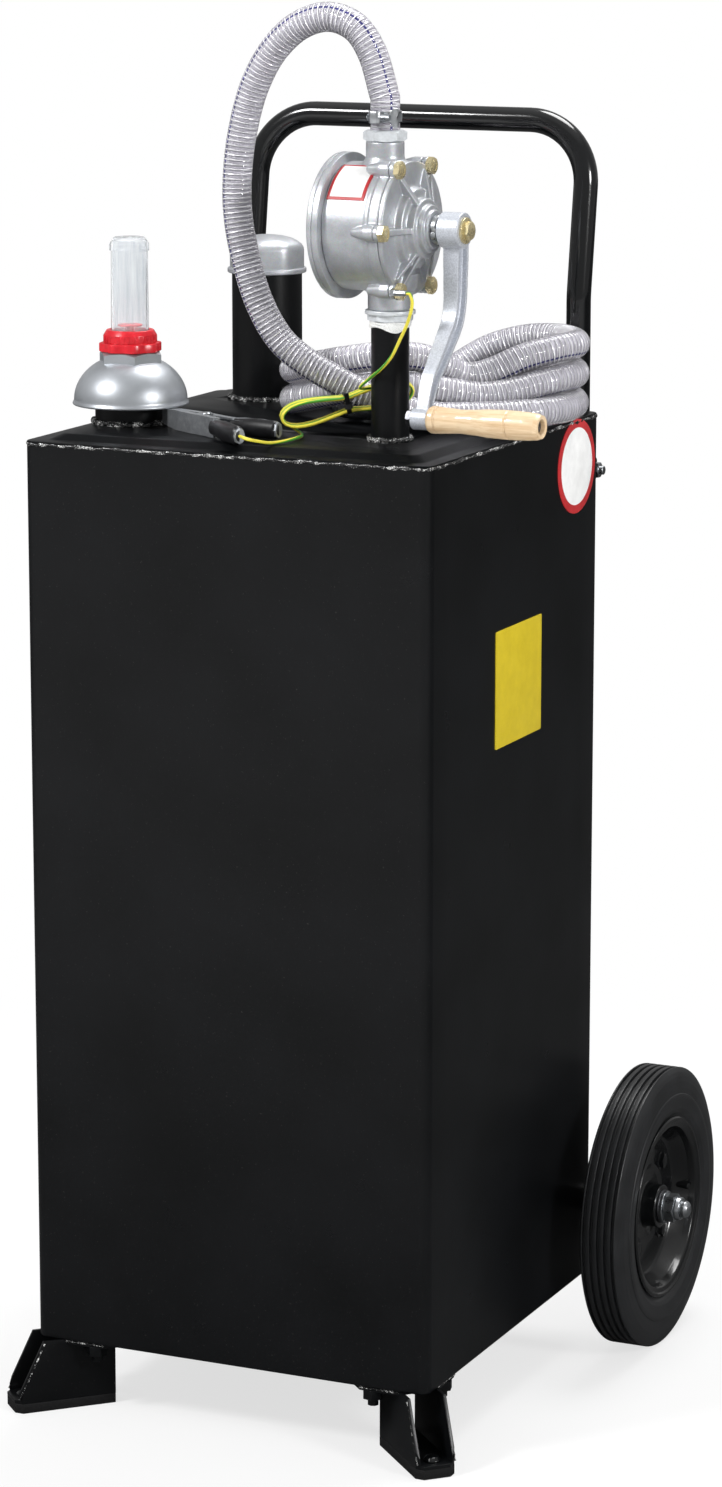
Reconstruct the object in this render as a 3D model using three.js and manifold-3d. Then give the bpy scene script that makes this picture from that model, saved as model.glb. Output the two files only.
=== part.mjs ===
// Wheeled steel fuel caddy with a hand-cranked rotary pump, a coiled hose and a float gauge.
// Lengths are millimetres and Z is up. Sizes are taken from the front lower edge of the tank,
// and the outer group moves the tyres and the foot pads down to height zero.
import * as THREE from "three";
import { mergeVertices } from "three/addons/utils/BufferGeometryUtils.js";
import Module from "manifold-3d";

const wasm = await Module();
wasm.setup();

const clearance = 0.3;
const radian = Math.PI / 180;
const quarterTurn = Math.PI / 2;
const fullTurn = Math.PI * 2;
const quarterDegrees = 90;
const halfDegrees = 180;
const fullDegrees = 360;
const hexagonSides = 6;

const tank = {
  width: 380, depth: 380, height: 804, wall: 2, corner: 10, cornerSteps: 3, lidEdge: 3,
  lidEdgeRound: 0.8, lidRise: 5, rimWidth: 14, slopeWidth: 10, innerSlopeInset: 1, panHeight: 6,
  panFloor: 3, panRound: 6, panRoundMiddle: 1.8, panInnerRound: 3,
};
const platform = tank.height + tank.lidRise;

const axle = { height: 65, radius: 8, overhang: 41.5, domeLength: 4, domeFlat: 4, steps: 12 };
const tyre = {
  radius: 130, gap: 29, halfWidth: 22.5, sideInset: 1.2, boreRadius: 78.3, beadHalf: 18,
  beadRadius: 86, beadOuter: 92, ridge: 103.5, shoulderSide: 117, shoulderMiddle: 125, shoulderDrop: 4,
  grooveDepth: 3.5, grooveHalf: 1.4, groovePitch: 6.8, grooveReach: 2, steps: 20,
};
const rim = {
  lipRadius: 84.5, lipInner: 81.5, lipThickness: 2.5, barrel: 78, dishMouth: 75, dishFloorRadius: 66,
  webFront: -2, webBack: -6, hubRadius: 20, hubFront: 13.5, hubBack: -25.5, backMouth: 74.5, steps: 20,
  boltCircle: 47, boltCount: 4, boltFlats: 13, boltHeight: 4,
};
const bush = { outer: 12, flange: 15.5, flangeThickness: 1.7, steps: 12 };
const axleNut = { washerRadius: 15, washerThickness: 2.6, acrossFlats: 24, height: 15, steps: 14 };
const spacer = { outer: 13, steps: 12 };

const handle = {
  tubeRadius: 11, boreRadius: 9, halfSpan: 163, bottom: 40, kink: 905, kinkRadius: 90, kinkSteps: 2,
  barHeight: 1059, barLean: 22.5, cornerRadius: 57, cornerSteps: 4, sides: 10, boreDepth: 60,
};
const bracket = { ear: 3, web: 2.7, halfHeight: 15, reach: 13, boltHeight: 749 };
const axleEar = { thickness: 3, halfHeight: 20, reach: 15 };
const groundClearance = tyre.radius - axle.height;
const tyreCentre = tank.width / 2 + tyre.gap + tyre.halfWidth;
const axleEnd = tyreCentre + axle.overhang;
const axleBack = tank.depth + bracket.web + clearance + handle.tubeRadius;
const barBack = axleBack + handle.barLean;
const handleBolt = {
  radius: 4, headFlats: 13, headHeight: 5.3, washerRadius: 8, washerThickness: 1.6, nutHeight: 6.5,
  overrun: 4, steps: 10,
};

const foot = {
  turnOut: 45, centre: 95, tip: 159, length: 92.4, width: 36.3, padThickness: 9, padChamfer: 6,
  sheet: 3, wallFront: 133, plateThickness: 4, plateBack: 62, plateMiddle: 86, plateFront: 112,
  plateHalf: 44, plateHalfFront: 18, boltForward: 88, boltAside: 32, boltRadius: 5, boltDrop: 14,
  nutFlats: 16, nutHeight: 8, screwForward: 146, screwRadius: 6, screwHeight: 4, steps: 8,
  notchDepth: 5, notchHalf: 8,
};

const neck = {
  x: -143.8, y: 112.3, outer: 31.15, inner: 28.6, top: 30, bead: 35.5, beadHeight: 6, steps: 16,
};
const filler = {
  x: -107.4, y: 311.7, outer: 31.7, inner: 29, top: 133, bead: 36, beadHeight: 6, steps: 16,
};
const riser = { x: 109.6, y: 99.3, outer: 16.2, inner: 13.5, top: 104, bead: 20, beadHeight: 5, steps: 12 };
const pipeInside = 12;
const beadMiddleShare = 0.55;
const suction = {
  outer: 11, inner: 8.5, flange: 16.2, flangeThickness: 2.5, foot: 22, strainerTop: 62, strainer: 14,
  strainerShoulder: 4, slotWidth: 3, slotBottom: 28, slotTop: 52, slotCount: 2, steps: 10,
};
const union = {
  bottom: 106.5, top: 116, acrossFlats: 38, flats: 8, bore: 11, seat: 19, chamfer: 1.6, steps: 16,
};

const dome = {
  lip: 21, lipRadius: 50.5, lipHeight: 2.5, radius: 49.5, shoulder: 25, rise: 40, arcSteps: 5,
  arcEnd: 55, seatBore: 31.8, hexBottom: 56, hexTop: 67, hexFlats: 50.2, steps: 18,
};
const stem = {
  radius: 8, bore: 4.5, below: 13, pivot: 400, slotHalf: 2, slotTop: 86, pinHole: 3.4, steps: 10,
  pinSteps: 8,
};
const gauge = { travel: 60, swing: 130, rest: -65, heading: 34.8 };
const bezel = {
  bottom: 67, flangeTop: 75, flange: 26.3, lobe: 0.8, lobes: 8, top: 86, body: 23, shoulder: 20.5,
  shoulderDrop: 4, bore: 16.9, steps: 24, bodySteps: 16,
};
const sight = {
  outer: 16.5, waist: 15.9, inner: 14.3, lip: 17.2, lipBottom: 154, lipTop: 160, top: 166, crown: 2.5,
  crownRadius: 13.5, steps: 14,
};
const indicator = {
  disc: 13, discHeight: 6, discBottom: 89, rod: 3.8, point: 0.5, pointLength: 8, pointGap: 1.2,
  steps: 12,
};
const float = {
  armLength: 290, armRadius: 3, radius: 24, halfLength: 35, endRadius: 12, hub: 6, camThickness: 3,
  camBase: 18, camMargin: 12, camSteps: 12, pin: 3, pinHalf: 8, steps: 10,
};

const cap = {
  lip: 119, lipTop: 123.5, lipRadius: 35.7, flats: 8, apothem: 32.9, softRadius: 34.2, sideTop: 141.5,
  brow: 145, browShare: 0.93, shoulder: 150, shoulderShare: 0.62, crown: 152.4, crownShare: 0.3,
  top: 153, bore: 32.2, steps: 24,
};

const pump = {
  rise: 185.1, turn: -3.6, rearOuter: -47.7, rearInner: -37, rearRadius: 61.5, rearFace: -45.5,
  rearRing: 54, rearBoss: 14, rearBossTop: -48.6, rearGroove: 1.2, rearEdge: 1.2, grooveBottom: -43.6,
  grooveTop: -42, barrel: 54, bore: 45, boreOffset: 5, flangeBack: 8, flangeFront: 16.5, flange: 56,
  boltCircle: 58.1, boltCount: 6, lug: 7, lugTail: 3, lugBack: -6, boltHole: 4.5, portBottom: -69.1,
  bottomPort: 19, bottomFlare: 23, bottomBore: 11, bottomFlareTop: 50, bottomNeck: 56, portTop: 71.5,
  topPort: 16.2, topFlare: 20, topBore: 9, topFlareTop: 52, topNeck: 58, topForward: -5, portRoot: 38,
  steps: 22, portSteps: 12, lugSteps: 6,
};
const cover = {
  back: 16.8, front: 21.3, radius: 56, padRadius: 33, padFoot: 35, padTop: 28, hubRadius: 25.2,
  hubTop: 35, neckRadius: 20, neckTop: 40, glandRadius: 16, glandTop: 43, shaftBore: 8.6, edge: 1,
  ribThickness: 5, pairThickness: 3.6, ribRoot: 23, ribTip: 50.6, ribCrest: 34, ribTipTop: 23.4,
  ribFoot: 19, pairSpread: 7, singles: [0, 120, 180], pairs: [60, 240, 300], steps: 20, boreSteps: 12,
};
const coverBolt = { radius: 3.9, headFlats: 13, headHeight: 5.3, end: -4, steps: 8, lugged: 4 };
const packing = { radius: 13, back: 43.3, front: 48.3, notch: 3, notchDepth: 2, notches: 4, steps: 16 };
const rotor = {
  radius: 39.5, back: -36.7, front: 16.2, slotHalf: 3, slotFront: 10, shaft: 8, shaftEnd: 69.5,
  boltHole: 4.3, boltDepth: 18, steps: 24,
};
const vane = { half: 2.7, reach: 39.3, front: 9.7 };
const lugTag = {
  radius: 7.3, thickness: 1.2, hole: 4.5, tongueHalf: 3.5, tongueReach: 12, bend: 1.2, barrelStart: 25,
  barrelEnd: 36, barrelRadius: 2.5, steps: 14,
};

const arm = {
  back: 50.5, face: 65, thicknessTop: 14.5, thicknessBottom: 11, flange: 3, grooveDepth: 3.4, steps: 10,
  bossRadius: 15, bossBack: 50, bossFront: 70, lowBoss: 9.3, lowFront: 65.5, lowBack: 50.3, pinBore: 5.3,
  bossSteps: 16, throwBack: -53, throwDown: -152, widthTop: 19.5, widthBottom: 10,
  lineShares: [[-0.142, 0.053], [-0.142, 0.132], [-0.125, 0.263], [-0.102, 0.395], [-0.011, 0.5],
    [0.264, 0.612], [0.528, 0.707], [0.792, 0.803], [0.934, 0.908], [1, 0.987]],
  widthShares: [1, 1, 0.9, 0.81, 0.67, 0.53, 0.42, 0.27, 0.1, 0],
};
const crankBolt = {
  radius: 4, headFlats: 14, back: 72, front: 76.5, washerRadius: 11, depth: 14, steps: 10,
};
const spindle = {
  radius: 5, nutBack: 45, nutFront: 50, nutFlats: 13, end: 161, headRadius: 5.9, headTop: 164.5,
  steps: 10,
};
const grip = {
  back: 66, front: 168, radius: 12.2, bore: 5.4, counterbore: 6.5, counterboreStart: 157.5, steps: 10,
  profileShares: [[0.87, 0], [0.95, 0.02], [0.95, 0.055], [0.9, 0.065], [0.935, 0.075], [0.885, 0.155],
    [0.82, 0.275], [0.87, 0.39], [0.965, 0.53], [1, 0.7], [0.96, 0.715], [1, 0.73], [0.965, 0.87],
    [0.89, 0.98], [0.8, 1]],
};

const outlet = {
  hexFlats: 32, hexBottom: 71.5, hexTop: 80.9, spigot: 8.7, spigotDepth: 14, barb: 9.2, barbHeight: 22,
  bore: 6.5, steps: 12,
};
const hose = {
  radius: 12.5, bore: 10.4, boreDepth: 24, sides: 8, leadSteps: 26, coilSteps: 56,
  lead: [[92, 99.5, 1134.8], [76.7, 99.5, 1154.5], [53.7, 99.5, 1162.3], [27.8, 99.5, 1155.7],
    [3.3, 100, 1136], [-16.5, 101, 1104.6], [-28.9, 102, 1065.6], [-34.7, 103, 1027.3],
    [-34.8, 104, 993.3], [-28.2, 105, 956.9], [-16.1, 107, 918.8], [1.5, 112, 887.4], [22.5, 118, 869],
    [45.5, 124, 855.5], [64, 131, 845], [88, 142, 834], [110, 157, 825.5]],
};
const hoseRise = 26;
const coil = {
  x: 78.4, y: 263.3, halfLength: 125.2, halfWidth: 104.8, skew: 9.85, first: 300, last: 1185, step: 15,
  crossing: 195, climb: 90, pitch: 26.1, backLean: 80, backAt: 118, backWidth: 85, frontLean: 57,
  frontAt: 318, frontWidth: 60,
  tail: [[45, 305, 826], [30, 290, 822], [22, 272, 821.8], [20, 250, 821.8], [20, 222, 821.8]],
};
const band = {
  inner: 12.8, outer: 14.2, height: 9, centre: 92.3, boxWidth: 11, boxDepth: 8, boxHeight: 10, screw: 3,
  screwLength: 16, wingHalf: 8, wingThickness: 2, steps: 16,
};
const spout = {
  radius: 9.5, bore: 8, barb: 9.2, barbLength: 20, collar: 12.5, collarLength: 3, sides: 8,
  boreSides: 6, steps: 6,
  route: [[20, 200, 821.8], [24, 192, 821.8], [32, 187, 821.8], [43, 186, 821.8], [84, 194, 821.8]],
};

const wire = {
  radius: 1.4, sides: 5, leadSteps: 20,
  lead: [[147.1, 60, 931.5], [140.4, 66, 914], [131.2, 70, 897.9], [123, 72, 883.8], [112.3, 76, 873],
    [98.5, 82, 863.1], [86, 90, 853.5]],
};
const hank = {
  centre: [68, 103, 837.5], along: [100, 56, 25], halfLength: 57, halfHeight: 18, spacing: 3.5,
  waistShare: 0.3, waistPower: 1.2, loops: 5, loopSteps: 18, start: 66, exit: 200,
  tail: [[24, 90, 815.5], [31, 88, 812.2], [36, 80, 811.2], [38, 68, 811.2], [38, 54, 811.2],
    [36, 38, 811.2], [32, 24, 811.8], [26, 12, 814.5], [20.5, 4.6, 817]],
};
const clamp = {
  x: -51, y: 73.6, heading: -29.4, height: 17, innerHeight: 13.4, sheet: 1.5, pivotRadius: 6, pin: 3,
  pinHole: 3.3, reach: 62, spread: 13.5, splitHalf: 0.25, toothPitch: 4, toothDepth: 1.4, teeth: 2,
  tipHalf: 5.5, steps: 8, handleReach: 84, farReach: 74, handleSpread: 23.7, sleeveWidth: 12,
  sleeveHeight: 16.8, sleeveSides: 8, taperShare: 0.55, splitShare: 0.66, bridgeShare: 0.4,
  outerShares: [[-1, 0.3], [-0.8, 0.56], [-0.48, 0.78], [-0.13, 0.93], [0.2, 0.89], [0.48, 1]],
  innerShares: [[0.48, 0.48], [0.2, 0.41], [-0.13, 0.41], [-0.45, 0.33], [-0.645, 0.18]],
  sleeveShares: [[0.31, 0.42], [0.475, 0.555], [0.715, 0.8], [1, 1]],
  sleeveSizeShares: [[0.77, 0.82], [0.93, 0.96], [1, 1], [0.83, 0.82]],
};

const gapMeasure = { fineness: 4, neighbours: 3 };

const finishes = {
  blackPaint: { color: 0x151515, roughness: 0.22, metalness: 0.1 },
  blackTube: { color: 0x161616, roughness: 0.35, metalness: 0.1 },
  blackRim: { color: 0x1a1a1a, roughness: 0.45, metalness: 0 },
  rubber: { color: 0x1d1d1e, roughness: 0.85, metalness: 0 },
  greyRubber: { color: 0x5c5d5f, roughness: 0.8, metalness: 0 },
  silverPaint: { color: 0xa9abad, roughness: 0.4, metalness: 0.6 },
  castAluminium: { color: 0xb4b6b8, roughness: 0.42, metalness: 0.85 },
  zincSteel: { color: 0xb9bcbf, roughness: 0.35, metalness: 1 },
  yellowZinc: { color: 0xc9a765, roughness: 0.35, metalness: 1 },
  darkSteel: { color: 0x6b6d70, roughness: 0.45, metalness: 1 },
  paleFitting: { color: 0xc9cacb, roughness: 0.5, metalness: 0.3 },
  wood: { color: 0xe3bd8d, roughness: 0.55, metalness: 0 },
  redPlastic: { color: 0xb2121c, roughness: 0.35, metalness: 0 },
  clearPlastic: { color: 0xe8edef, roughness: 0.08, metalness: 0 },
  clearHose: { color: 0xb9aebf, roughness: 0.2, metalness: 0 },
  wireJacket: { color: 0xc9c23a, roughness: 0.45, metalness: 0 },
  clampSteel: { color: 0x77797c, roughness: 0.4, metalness: 1 },
  vane: { color: 0x3a2d22, roughness: 0.6, metalness: 0 },
};

// Returns the closed solid of a geometry, so that pieces can be joined and cut.
function solidOf(part) {
  if (part instanceof wasm.Manifold) {
    return part;
  }
  const plain = part.clone();
  plain.deleteAttribute("normal");
  plain.deleteAttribute("uv");
  const merged = mergeVertices(plain);
  return new wasm.Manifold(new wasm.Mesh({
    numProp: 3,
    vertProperties: new Float32Array(merged.attributes.position.array),
    triVerts: new Uint32Array(merged.index.array),
  }));
}

function join(first, ...others) {
  let whole = solidOf(first);
  for (const other of others) {
    whole = whole.add(solidOf(other));
  }
  return whole;
}

function cut(first, ...tools) {
  let whole = solidOf(first);
  for (const tool of tools) {
    whole = whole.subtract(solidOf(tool));
  }
  return whole;
}

function common(first, second) {
  return solidOf(first).intersect(solidOf(second));
}

// Makes the named mesh of one sub-part with a material of its own.
function mesh(name, part, finish) {
  const data = solidOf(part).getMesh();
  const geometry = new THREE.BufferGeometry();
  geometry.setAttribute("position", new THREE.BufferAttribute(new Float32Array(data.vertProperties), 3));
  geometry.setIndex(new THREE.BufferAttribute(new Uint32Array(data.triVerts), 1));
  geometry.computeVertexNormals();
  const piece = new THREE.Mesh(geometry, new THREE.MeshStandardMaterial(finish));
  piece.name = name;
  return piece;
}

// Turns a profile of [radius, height] pairs about the Z axis.
function turned(profile, steps) {
  const points = profile.map(([radius, height]) => new THREE.Vector2(radius, height));
  return new THREE.LatheGeometry(points, steps).rotateX(quarterTurn);
}

function ring(inner, outer, bottom, top, steps) {
  return turned([[inner, bottom], [outer, bottom], [outer, top], [inner, top], [inner, bottom]], steps);
}

function rod(radius, bottom, top, steps, topRadius = radius) {
  return turned([[0, bottom], [radius, bottom], [topRadius, top], [0, top]], steps);
}

function prism(sides, acrossFlats, bottom, top) {
  const radius = acrossFlats / 2 / Math.cos(Math.PI / sides);
  return rod(radius, bottom, top, sides);
}

function block(minX, maxX, minY, maxY, minZ, maxZ) {
  const box = new THREE.BoxGeometry(maxX - minX, maxY - minY, maxZ - minZ);
  return box.translate((minX + maxX) / 2, (minY + maxY) / 2, (minZ + maxZ) / 2);
}

function slab(outline, bottom, top) {
  const shape = new THREE.Shape(outline.map(([x, y]) => new THREE.Vector2(x, y)));
  return new THREE.ExtrudeGeometry(shape, { depth: top - bottom, bevelEnabled: false })
    .translate(0, 0, bottom);
}

// Lays a piece made about Z along X, so that its height becomes X.
function alongX(geometry) {
  return geometry.rotateY(quarterTurn);
}

// Skins a row of rings that all have the same number of points, and closes both ends.
function loft(rings) {
  const count = rings[0].length;
  const points = rings.flat();
  const faces = [];
  for (let level = 0; level < rings.length - 1; level++) {
    for (let index = 0; index < count; index++) {
      const here = level * count + index;
      const next = level * count + (index + 1) % count;
      faces.push(here, next, next + count, here, next + count, here + count);
    }
  }
  const lastRing = points.length - count;
  const firstMiddle = points.push(middleOf(rings[0])) - 1;
  const lastMiddle = points.push(middleOf(rings[rings.length - 1])) - 1;
  for (let index = 0; index < count; index++) {
    const next = (index + 1) % count;
    faces.push(firstMiddle, next, index, lastMiddle, lastRing + index, lastRing + next);
  }
  const geometry = new THREE.BufferGeometry().setFromPoints(points);
  geometry.setIndex(faces);
  return geometry;
}

function middleOf(points) {
  const sum = points.reduce((total, point) => total.add(point), new THREE.Vector3());
  return sum.divideScalar(points.length);
}

// A path through fixed stations, so that an extrusion puts one ring on each of them.
class Route extends THREE.Curve {
  constructor(points) {
    super();
    this.points = points;
  }

  getSpacedPoints() {
    return this.points;
  }

  getTangentAt(share, target = new THREE.Vector3()) {
    const last = this.points.length - 1;
    const here = Math.round(share * last);
    const before = this.points[Math.max(here - 1, 0)];
    const after = this.points[Math.min(here + 1, last)];
    return target.subVectors(after, before).normalize();
  }
}

function circle(radius, sides) {
  const points = [];
  for (let index = 0; index < sides; index++) {
    const angle = fullTurn * index / sides;
    points.push(new THREE.Vector2(radius * Math.cos(angle), radius * Math.sin(angle)));
  }
  return points;
}

function tube(points, radius, sides, bore = 0) {
  const shape = new THREE.Shape(circle(radius, sides));
  if (bore > 0) {
    shape.holes.push(new THREE.Path(circle(bore, sides)));
  }
  return new THREE.ExtrudeGeometry(shape, { steps: points.length - 1, extrudePath: new Route(points) });
}

function vectors(rows) {
  return rows.map(([x, y, z]) => new THREE.Vector3(x, y, z));
}

function smoothLine(points) {
  return new THREE.CatmullRomCurve3(points, false, "centripetal");
}

function smoothRoute(points, steps) {
  return smoothLine(points).getSpacedPoints(steps);
}

// Least distance between the surfaces of a wound tube, past the neighbours that follow on in its route.
function leastGap(points, diameter) {
  const fine = smoothRoute(points, points.length * gapMeasure.fineness);
  const spacing = fine[0].distanceTo(fine[1]);
  const skip = Math.ceil(diameter * gapMeasure.neighbours / spacing);
  let least = Infinity;
  for (let first = 0; first < fine.length; first++) {
    for (let second = first + skip; second < fine.length; second++) {
      least = Math.min(least, fine[first].distanceTo(fine[second]) - diameter);
    }
  }
  return least;
}

// Outline of the tank at a height, drawn in from the walls by an inset.
function tankRing(inset, height, corner = Math.max(tank.corner - inset, tank.panInnerRound)) {
  const halfX = tank.width / 2 - inset - corner;
  const halfY = tank.depth / 2 - inset - corner;
  const points = [];
  const corners = [[halfX, halfY], [-halfX, halfY], [-halfX, -halfY], [halfX, -halfY]];
  corners.forEach(([centreX, centreY], index) => {
    for (let step = 0; step <= tank.cornerSteps; step++) {
      const angle = quarterTurn * (index + step / tank.cornerSteps);
      const x = centreX + corner * Math.cos(angle);
      const y = tank.depth / 2 + centreY + corner * Math.sin(angle);
      points.push(new THREE.Vector3(x, y, height));
    }
  });
  return points;
}

function tankShell() {
  const flat = (points) => points.map((point) => new THREE.Vector2(point.x, point.y));
  const shape = new THREE.Shape(flat(tankRing(0, 0)));
  shape.holes.push(new THREE.Path(flat(tankRing(tank.wall, 0))));
  const height = tank.height - tank.lidEdge - tank.panHeight;
  const walls = new THREE.ExtrudeGeometry(shape, { depth: height, bevelEnabled: false });
  return join(walls.translate(0, 0, tank.panHeight), axleLug(-1), axleLug(1));
}

// Plate welded to the back wall beside the inner face of an upright, with the axle through it.
function axleLug(side) {
  const outerFace = handle.halfSpan - handle.tubeRadius - clearance;
  const innerFace = outerFace - axleEar.thickness;
  const back = axleBack + axleEar.reach;
  const plate = block(innerFace, outerFace, tank.depth - tank.wall / 2, back - axleEar.reach / 2,
    axle.height - axleEar.halfHeight, axle.height + axleEar.halfHeight);
  const nose = alongX(rod(axleEar.reach, innerFace, outerFace, axle.steps))
    .translate(0, axleBack, axle.height);
  const hole = alongX(rod(axle.radius + clearance, innerFace - clearance, outerFace + clearance,
    axle.steps));
  const lug = cut(join(plate, nose), hole.translate(0, axleBack, axle.height));
  return side > 0 ? lug : lug.mirror([1, 0, 0]);
}

function tankBottom() {
  return loft([
    tankRing(tank.panRound, 0), tankRing(tank.panRoundMiddle, tank.panRoundMiddle),
      tankRing(0, tank.panHeight),
    tankRing(tank.wall, tank.panHeight), tankRing(tank.wall + tank.panInnerRound, tank.panFloor),
  ]);
}

function tankTop() {
  const wallTop = tank.height - tank.lidEdge;
  const slopeEnd = tank.rimWidth + tank.slopeWidth;
  const lid = loft([
    tankRing(slopeEnd + tank.innerSlopeInset, platform - tank.lidEdge, tank.corner),
    tankRing(tank.rimWidth + tank.innerSlopeInset, wallTop, tank.corner),
    tankRing(0, wallTop),
    tankRing(0, tank.height - tank.lidEdgeRound),
    tankRing(tank.lidEdgeRound, tank.height),
    tankRing(tank.rimWidth, tank.height, tank.corner),
    tankRing(slopeEnd, platform, tank.corner),
  ]);
  const holes = [neck, filler, riser].map((pipe) => rod(pipe.outer + clearance, wallTop - tank.lidEdge,
    platform + tank.lidEdge, pipe.steps).translate(pipe.x, pipe.y, 0));
  return cut(lid, ...holes);
}

// A pipe that stands in a hole of the lid, with the weld bead that closes the joint.
function weldedPipe(pipe) {
  const top = tank.height + pipe.top;
  const beadMiddle = pipe.outer + (pipe.bead - pipe.outer) * beadMiddleShare;
  const profile = [
    [pipe.inner, platform - pipeInside], [pipe.outer, platform - pipeInside], [pipe.outer, platform],
    [pipe.bead, platform], [beadMiddle, platform + pipe.beadHeight * beadMiddleShare],
    [pipe.outer, platform + pipe.beadHeight], [pipe.outer, top], [pipe.inner, top],
    [pipe.inner, platform - pipeInside],
  ];
  return turned(profile, pipe.steps).translate(pipe.x, pipe.y, 0);
}

function suctionTube() {
  const seat = tank.height + suction.flangeThickness + riser.top;
  const profile = [
    [suction.inner, suction.foot], [suction.strainer, suction.foot],
    [suction.strainer, suction.strainerTop],
    [suction.outer, suction.strainerTop + suction.strainerShoulder],
    [suction.outer, seat - suction.flangeThickness], [suction.flange, seat - suction.flangeThickness],
    [suction.flange, seat], [suction.inner, seat], [suction.inner, suction.foot],
  ];
  const slots = [];
  for (let index = 0; index < suction.slotCount; index++) {
    const slot = block(-suction.strainer * 2, suction.strainer * 2,
      -suction.slotWidth / 2, suction.slotWidth / 2, suction.slotBottom, suction.slotTop);
    slots.push(slot.rotateZ(Math.PI * index / suction.slotCount));
  }
  return cut(turned(profile, suction.steps), ...slots).translate([riser.x, riser.y, 0]);
}

function riserUnion() {
  const bottom = tank.height + union.bottom;
  const top = tank.height + union.top;
  const corner = union.acrossFlats / 2 / Math.cos(Math.PI / union.flats);
  const rounding = turned([[0, bottom], [corner - union.chamfer, bottom], [corner, bottom + union.chamfer],
    [corner, top - union.chamfer], [corner - union.chamfer, top], [0, top]], union.steps);
  const collar = common(prism(union.flats, union.acrossFlats, bottom, top), rounding);
  const bore = rod(union.bore, bottom - clearance, top + clearance, riser.steps);
  return cut(collar, bore).translate([riser.x, riser.y, 0]);
}

// Tyre section, from the bore over the outer side and the grooved tread to the inner side.
function tyreProfile() {
  const face = tyre.halfWidth;
  const side = tyre.halfWidth - tyre.sideInset;
  const half = [
    [tyre.boreRadius, tyre.beadHalf], [tyre.beadRadius, tyre.beadHalf], [tyre.beadOuter, side],
    [tyre.ridge, face], [tyre.shoulderSide, side], [tyre.shoulderMiddle, face - tyre.shoulderDrop],
  ];
  const tread = [];
  for (let groove = tyre.grooveReach; groove >= -tyre.grooveReach; groove--) {
    const centre = groove * tyre.groovePitch;
    tread.push([tyre.radius, centre + tyre.grooveHalf], [tyre.radius - tyre.grooveDepth, centre],
      [tyre.radius, centre - tyre.grooveHalf]);
  }
  const other = half.map(([radius, height]) => [radius, -height]).reverse();
  return [...half, ...tread, ...other, half[0]].reverse();
}

function tyreSolid() {
  return alongX(turned(tyreProfile(), tyre.steps).translate(0, 0, tyreCentre));
}

// Rim section: lips, drop barrel, deep dish, web and hub.
function rimSolid() {
  const lipFace = tyre.beadHalf + clearance + rim.lipThickness;
  const lipBack = tyre.beadHalf + clearance;
  const bore = bush.outer + clearance;
  const profile = [
    [bore, rim.hubBack], [rim.hubRadius, rim.hubBack], [rim.hubRadius, rim.webBack],
    [rim.dishFloorRadius, rim.webBack], [rim.backMouth, -lipFace], [rim.lipRadius, -lipFace],
    [rim.lipRadius, -lipBack], [rim.barrel, -lipBack], [rim.barrel, lipBack], [rim.lipRadius, lipBack],
    [rim.lipInner, lipFace], [rim.dishMouth, lipFace], [rim.dishFloorRadius, rim.webFront],
    [rim.hubRadius, rim.webFront], [rim.hubRadius, rim.hubFront], [bore, rim.hubFront],
    [bore, rim.hubBack],
  ];
  const bolts = [];
  for (let index = 0; index < rim.boltCount; index++) {
    const head = prism(hexagonSides, rim.boltFlats, rim.webFront - clearance,
      rim.webFront + rim.boltHeight);
    bolts.push(head.translate(rim.boltCircle, 0, 0).rotateZ(fullTurn * (index + 0.5) / rim.boltCount));
  }
  const solid = join(turned(profile, rim.steps), ...bolts);
  return solid.translate([0, 0, tyreCentre]).rotate([0, quarterDegrees, 0]);
}

function wheelBush() {
  const bore = axle.radius + clearance;
  const back = tyreCentre + rim.hubBack;
  const front = tyreCentre + rim.hubFront + clearance;
  return alongX(turned([[bore, back], [bush.outer, back], [bush.outer, front], [bush.flange, front],
    [bush.flange, front + bush.flangeThickness], [bore, front + bush.flangeThickness], [bore, back]],
    bush.steps));
}

function axleRod() {
  const end = axleEnd;
  const shoulder = end - axle.domeLength;
  return alongX(turned([[0, -end], [axle.domeFlat, -end], [axle.radius, -shoulder], [axle.radius, shoulder],
    [axle.domeFlat, end], [0, end]], axle.steps));
}

function axleNutSolid() {
  const start = tyreCentre + rim.hubFront + bush.flangeThickness + clearance * 2;
  const seat = start + axleNut.washerThickness;
  const top = seat + axleNut.height;
  const washer = rod(axleNut.washerRadius, start, seat, axleNut.steps);
  const hexagon = prism(hexagonSides, axleNut.acrossFlats, seat - clearance, top);
  const bore = rod(axle.radius + clearance, start - clearance, top + clearance, axle.steps);
  return cut(join(washer, hexagon), bore).rotate([0, quarterDegrees, 0]);
}

function spacerSolid() {
  const start = handle.halfSpan + handle.tubeRadius + clearance;
  const end = tyreCentre + rim.hubBack - clearance;
  return alongX(ring(axle.radius + clearance, spacer.outer, start, end, spacer.steps));
}

// The wheel pieces of one side, about the axle, turned round for the left side.
function wheelSet(side, name) {
  const group = new THREE.Group();
  group.position.set(0, axleBack, axle.height);
  group.rotation.z = side > 0 ? 0 : Math.PI;
  group.add(
    mesh(`tyre_${name}`, tyreSolid(), finishes.rubber),
    mesh(`rim_${name}`, rimSolid(), finishes.blackRim),
    mesh(`wheel_bush_${name}`, wheelBush(), finishes.darkSteel),
    mesh(`axle_nut_${name}`, axleNutSolid(), finishes.zincSteel),
    mesh(`axle_spacer_${name}`, spacerSolid(), finishes.blackTube),
  );
  return group;
}

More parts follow.
